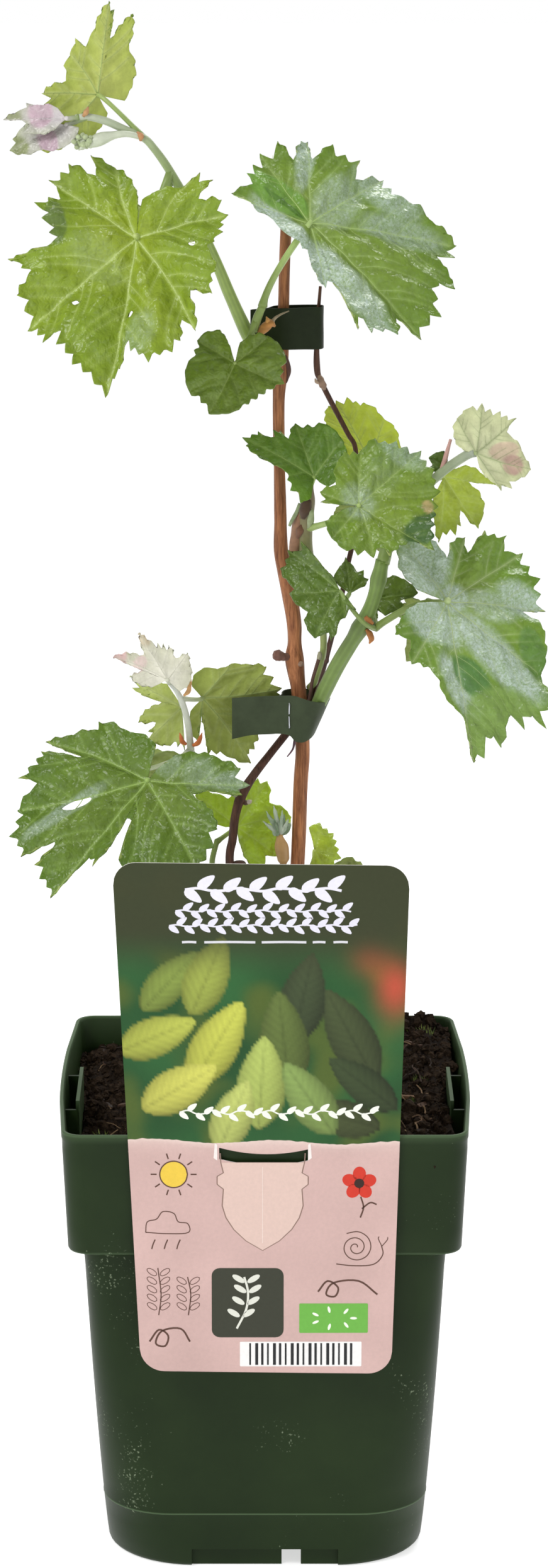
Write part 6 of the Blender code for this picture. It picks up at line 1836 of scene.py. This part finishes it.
for host, slot, parts in (
    ("main_cane", "bark", (
        # the round bud on the left of the thick joint, and the small one on its right
        (((7.6, -1.5, 294.4), (6.2, -2.6, 294.6), (5.2, -3.3, 295), (4.2, -3.8, 295.3), (3, -4.2, 295.6),
          (2.5, -4.3, 295.7)), (1.2, 1.3, 1.6, 1.9, 1.4, 0.3), "6f4b3f"),
        (((10.6, -1.8, 291.8), (11.7, -2.7, 292.3), (12.1, -3.1, 292.5)), (0.8, 0.9, 0.3), "8f735f"),
        # the dead spur with its pale end, and the thin twig beside it
        (((13, -2, 276.6), (14.6, -3.2, 281), (15.4, -4, 287.2), (17.5, -5, 294.8)),
         (0.9, 0.7, 0.55, 0.6), "53382c"),
        (((17.4, -5, 294.4), (17.7, -5.1, 295.6), (17.6, -5.1, 296.8)), (0.75, 0.85, 0.5), "8f8c72"),
        (((14.2, -2, 277), (16.1, -3, 281.1), (19.1, -4, 291.4), (19.9, -4.5, 293.5), (20.4, -4.7, 295.2),
          (21.8, -5, 303)), (0.5, 0.5, 0.45, 0.75, 0.45, 0.35), "4a3029"),
        # the dry tendril that hangs under the tie
        (((11, -1.4, 271), (9.8, -3.4, 267.5), (9.1, -4.3, 264.4), (7.2, -4.5, 261.8)),
         (0.5, 0.45, 0.35, 0.2), "5a3f4a"),
        # the dead stub beside the upper tie
        (((5.6, -1, 394), (6.8, -1.2, 390.5), (7.5, -0.8, 387.6), (7.1, -0.6, 384.5), (6.9, -0.6, 383.4)),
         (0.8, 0.9, 1, 0.35, 0.12), "4d2f26"),
    )),
    ("thin_cane", "dark_bark", (
        (((-7.8, -1.8, 246.6), (-6.3, -1.9, 245.8), (-5.2, -2, 246)), (0.7, 0.9, 0.5), "5a4034"),
        (((-5.7, -2, 245.9), (-4.9, -2.1, 246.2), (-4.3, -2.1, 246.6)), (0.7, 0.75, 0.25), "b9ada0"),
        (((-10.6, -2.4, 224.8), (-8.6, -2.2, 225.2), (-7.2, -2.1, 225), (-6, -2, 224)),
         (1.1, 1.3, 1.2, 0.4), "52392f"),
    )),
    ("thin_cane_tip", "dark_bark", (
        (((17.2, 1.8, 385.6), (17.9, 1.7, 383.8), (18.6, 1.8, 382.2), (19.1, 2, 380.8)),
         (0.6, 1.2, 1.15, 0.5), "8f7462"),
        (((17.2, 1.2, 383.2), (16.4, 1, 383.6), (16, 1, 384.6)), (0.5, 0.55, 0.2), "b39a86"),
    )),
    ("top_shoot", "green_shoot", (
        # the torn leaf scar, and the dry bract that curls away from it
        (((-1.6, -12.6, 401.2), (0, -13, 403), (1.8, -13, 404.2), (3.2, -12.4, 403.4)),
         (1.1, 1.6, 1.4, 0.4), "b07a3e"),
        (((0.8, -13.2, 403.6), (0.9, -13.6, 405.4), (0.4, -13.6, 406.6)), (0.9, 0.7, 0.15), "c08c4c"),
        (((2, -12.8, 403.8), (3, -12.8, 405.8), (5.2, -12.6, 407.2), (7.6, -12.4, 408.2)),
         (0.8, 0.5, 0.32, 0.16), "8f8068"),
    )),
    ("middle_shoot", "green_shoot", (
        (((32.4, -16, 306.6), (33.6, -16.6, 305), (34, -16.7, 303.6), (33.4, -16.4, 302)),
         (0.5, 1.1, 0.9, 0.3), "b0713a"),
        (((32, -16.8, 310.9), (33.2, -17, 309.4), (34.6, -17, 308.6)), (0.6, 1.2, 0.5), "bd7a46"),
    )),
    ("left_foliage", "green_shoot", (
        (((-25.4, -13.4, 268.2), (-26.6, -14, 269.2), (-27, -14.2, 270.6), (-27.4, -14.3, 272.2)),
         (0.5, 0.85, 0.6, 0.15), "b8652c"),
        (((-23.2, -13, 267.6), (-21.6, -13.4, 268.6), (-20.8, -13.4, 270.2), (-20.2, -13.4, 272)),
         (0.5, 0.85, 0.65, 0.15), "b8652c"),
        (((-26, -15, 284.6), (-24.6, -15.2, 286), (-24, -15.2, 288.4), (-23.6, -15.2, 290)),
         (0.4, 0.8, 0.6, 0.15), "d0a06a"),
    )),
    ("top_foliage", "green_shoot", (
        (((-56, -27.4, 470.6), (-55, -27.7, 472), (-54.4, -27.7, 473.6)), (0.5, 0.9, 0.25), "b98d5e"),
        (((-39.6, -25, 465.4), (-38.4, -25.4, 464.4), (-38.4, -25.2, 462.8)), (0.5, 1.05, 0.4), "b58358"),
        *(
            # the flower cluster: small woolly beads packed round its stalk
            bead(
                (-56 + 3.3 * math.cos(2.4 * k) * (k / 22) ** 0.5, -28.9 - 1.1 * math.sin(4.1 * k),
                 463 + 2.3 * math.sin(2.4 * k) * (k / 22) ** 0.5),
                1.05 - 0.015 * k, "a9b58c" if k % 3 else "c9d0b8",
            )
            for k in range(22)
        ),
    )),
    ("centre_foliage", "green_shoot", (
        # last year's spur under the green stem: flaking wood, a dark dead end, a bud beside it
        (((9.2, -7, 329.5), (10, -7.6, 334), (10.8, -8.2, 339), (12.2, -9.2, 344.6)),
         (1.7, 2, 1.9, 1.2), "8f6a50"),
        (((10.4, -9.4, 335), (11.2, -10, 337.4), (11.8, -10, 339.4)), (0.6, 1.3, 0.5), "6e4a34"),
        (((12.2, -10.8, 341.6), (12.8, -11.4, 344.4), (13.4, -11.4, 347.2), (13.6, -11, 348.8)),
         (0.9, 2, 1.7, 0.5), "46301f"),
        (((14, -10.4, 338.4), (14.6, -11.4, 341), (14.7, -11.8, 343.6), (14.5, -11.6, 345.2)),
         (0.6, 1.15, 1, 0.3), "98a47c"),
        (((11.4, -9, 346), (10, -9.6, 343), (8.6, -9.8, 340.6), (7.8, -9.8, 338.9)),
         (0.8, 0.65, 0.6, 0.45), "8e9d74"),
    )),
):
    grown = Heap()
    for number, (points_mm, radii_mm, tone) in enumerate(parts):
        shape = tube(smooth_path(points_mm, 5), eased(radii_mm, 5) * MM, 12, flakes(number))
        shade = np.array((*srgb(tone), 1))
        spread = np.array([1 + 0.35 * noise.noise(Vector(point) * 900) for point in shape[0]])[:, None]
        grown.take(*shape, (shade * spread).clip(0, 1))
    piece = grown.shape(host + "_buds", dry_scale)
    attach(piece, "root")
    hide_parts(host)


# ---------------------------------------------------------------- studio
# A seamless white floor that glows a little, under a white sky that is dimmer overhead, one broad soft
# lamp from the upper left, and a smaller one from the rear right that picks out the leaves' edges.

FLOOR_REACH = 6                 # metres from the pot to each side
floor_finish = Finish(
    "studio_floor", 0.9,
    Base_Color=(0.8, 0.8, 0.8, 1), Emission_Color=(1, 1, 1, 1), Emission_Strength=0.62,
).material
corners = [(x * FLOOR_REACH, y * FLOOR_REACH, 0) for x, y in ((-1, -1), (1, -1), (1, 1), (-1, 1))]
floor = made("studio_floor", corners, [(0, 1, 2, 3)], (floor_finish,), smooth=False)

world = bpy.data.worlds.new("studio")
world.use_nodes = True
sky = world.node_tree.nodes["Background"]
sky.inputs["Color"].default_value = (1, 1, 1, 1)
way = add(world.node_tree, "ShaderNodeTexCoord").outputs["Generated"]
upward = add(world.node_tree, "ShaderNodeSeparateXYZ", way).outputs["Z"]
dome = add(world.node_tree, "ShaderNodeMapRange", Value=upward, From_Max=0.5, To_Min=1, To_Max=0.45)
world.node_tree.links.new(dome.outputs["Result"], sky.inputs["Strength"])
bpy.context.scene.world = world
bpy.context.scene.view_settings.view_transform = "Standard"


def lamp(name, place, aim, size, power):
    """A square soft lamp that faces its aim."""
    light = bpy.data.lights.new(name, "AREA")
    light.size = size
    light.energy = power
    obj = bpy.data.objects.new(name, light)
    obj.location = place
    obj.rotation_euler = (Vector(aim) - Vector(place)).to_track_quat("-Z", "Y").to_euler()
    bpy.context.scene.collection.objects.link(obj)


lamp("key", (-0.9, -0.9, 1.5), (0, 0, 0.25), 0.5, 13)
lamp("top_back", (0.35, 0.7, 1.3), (0, 0, 0.3), 0.5, 9)
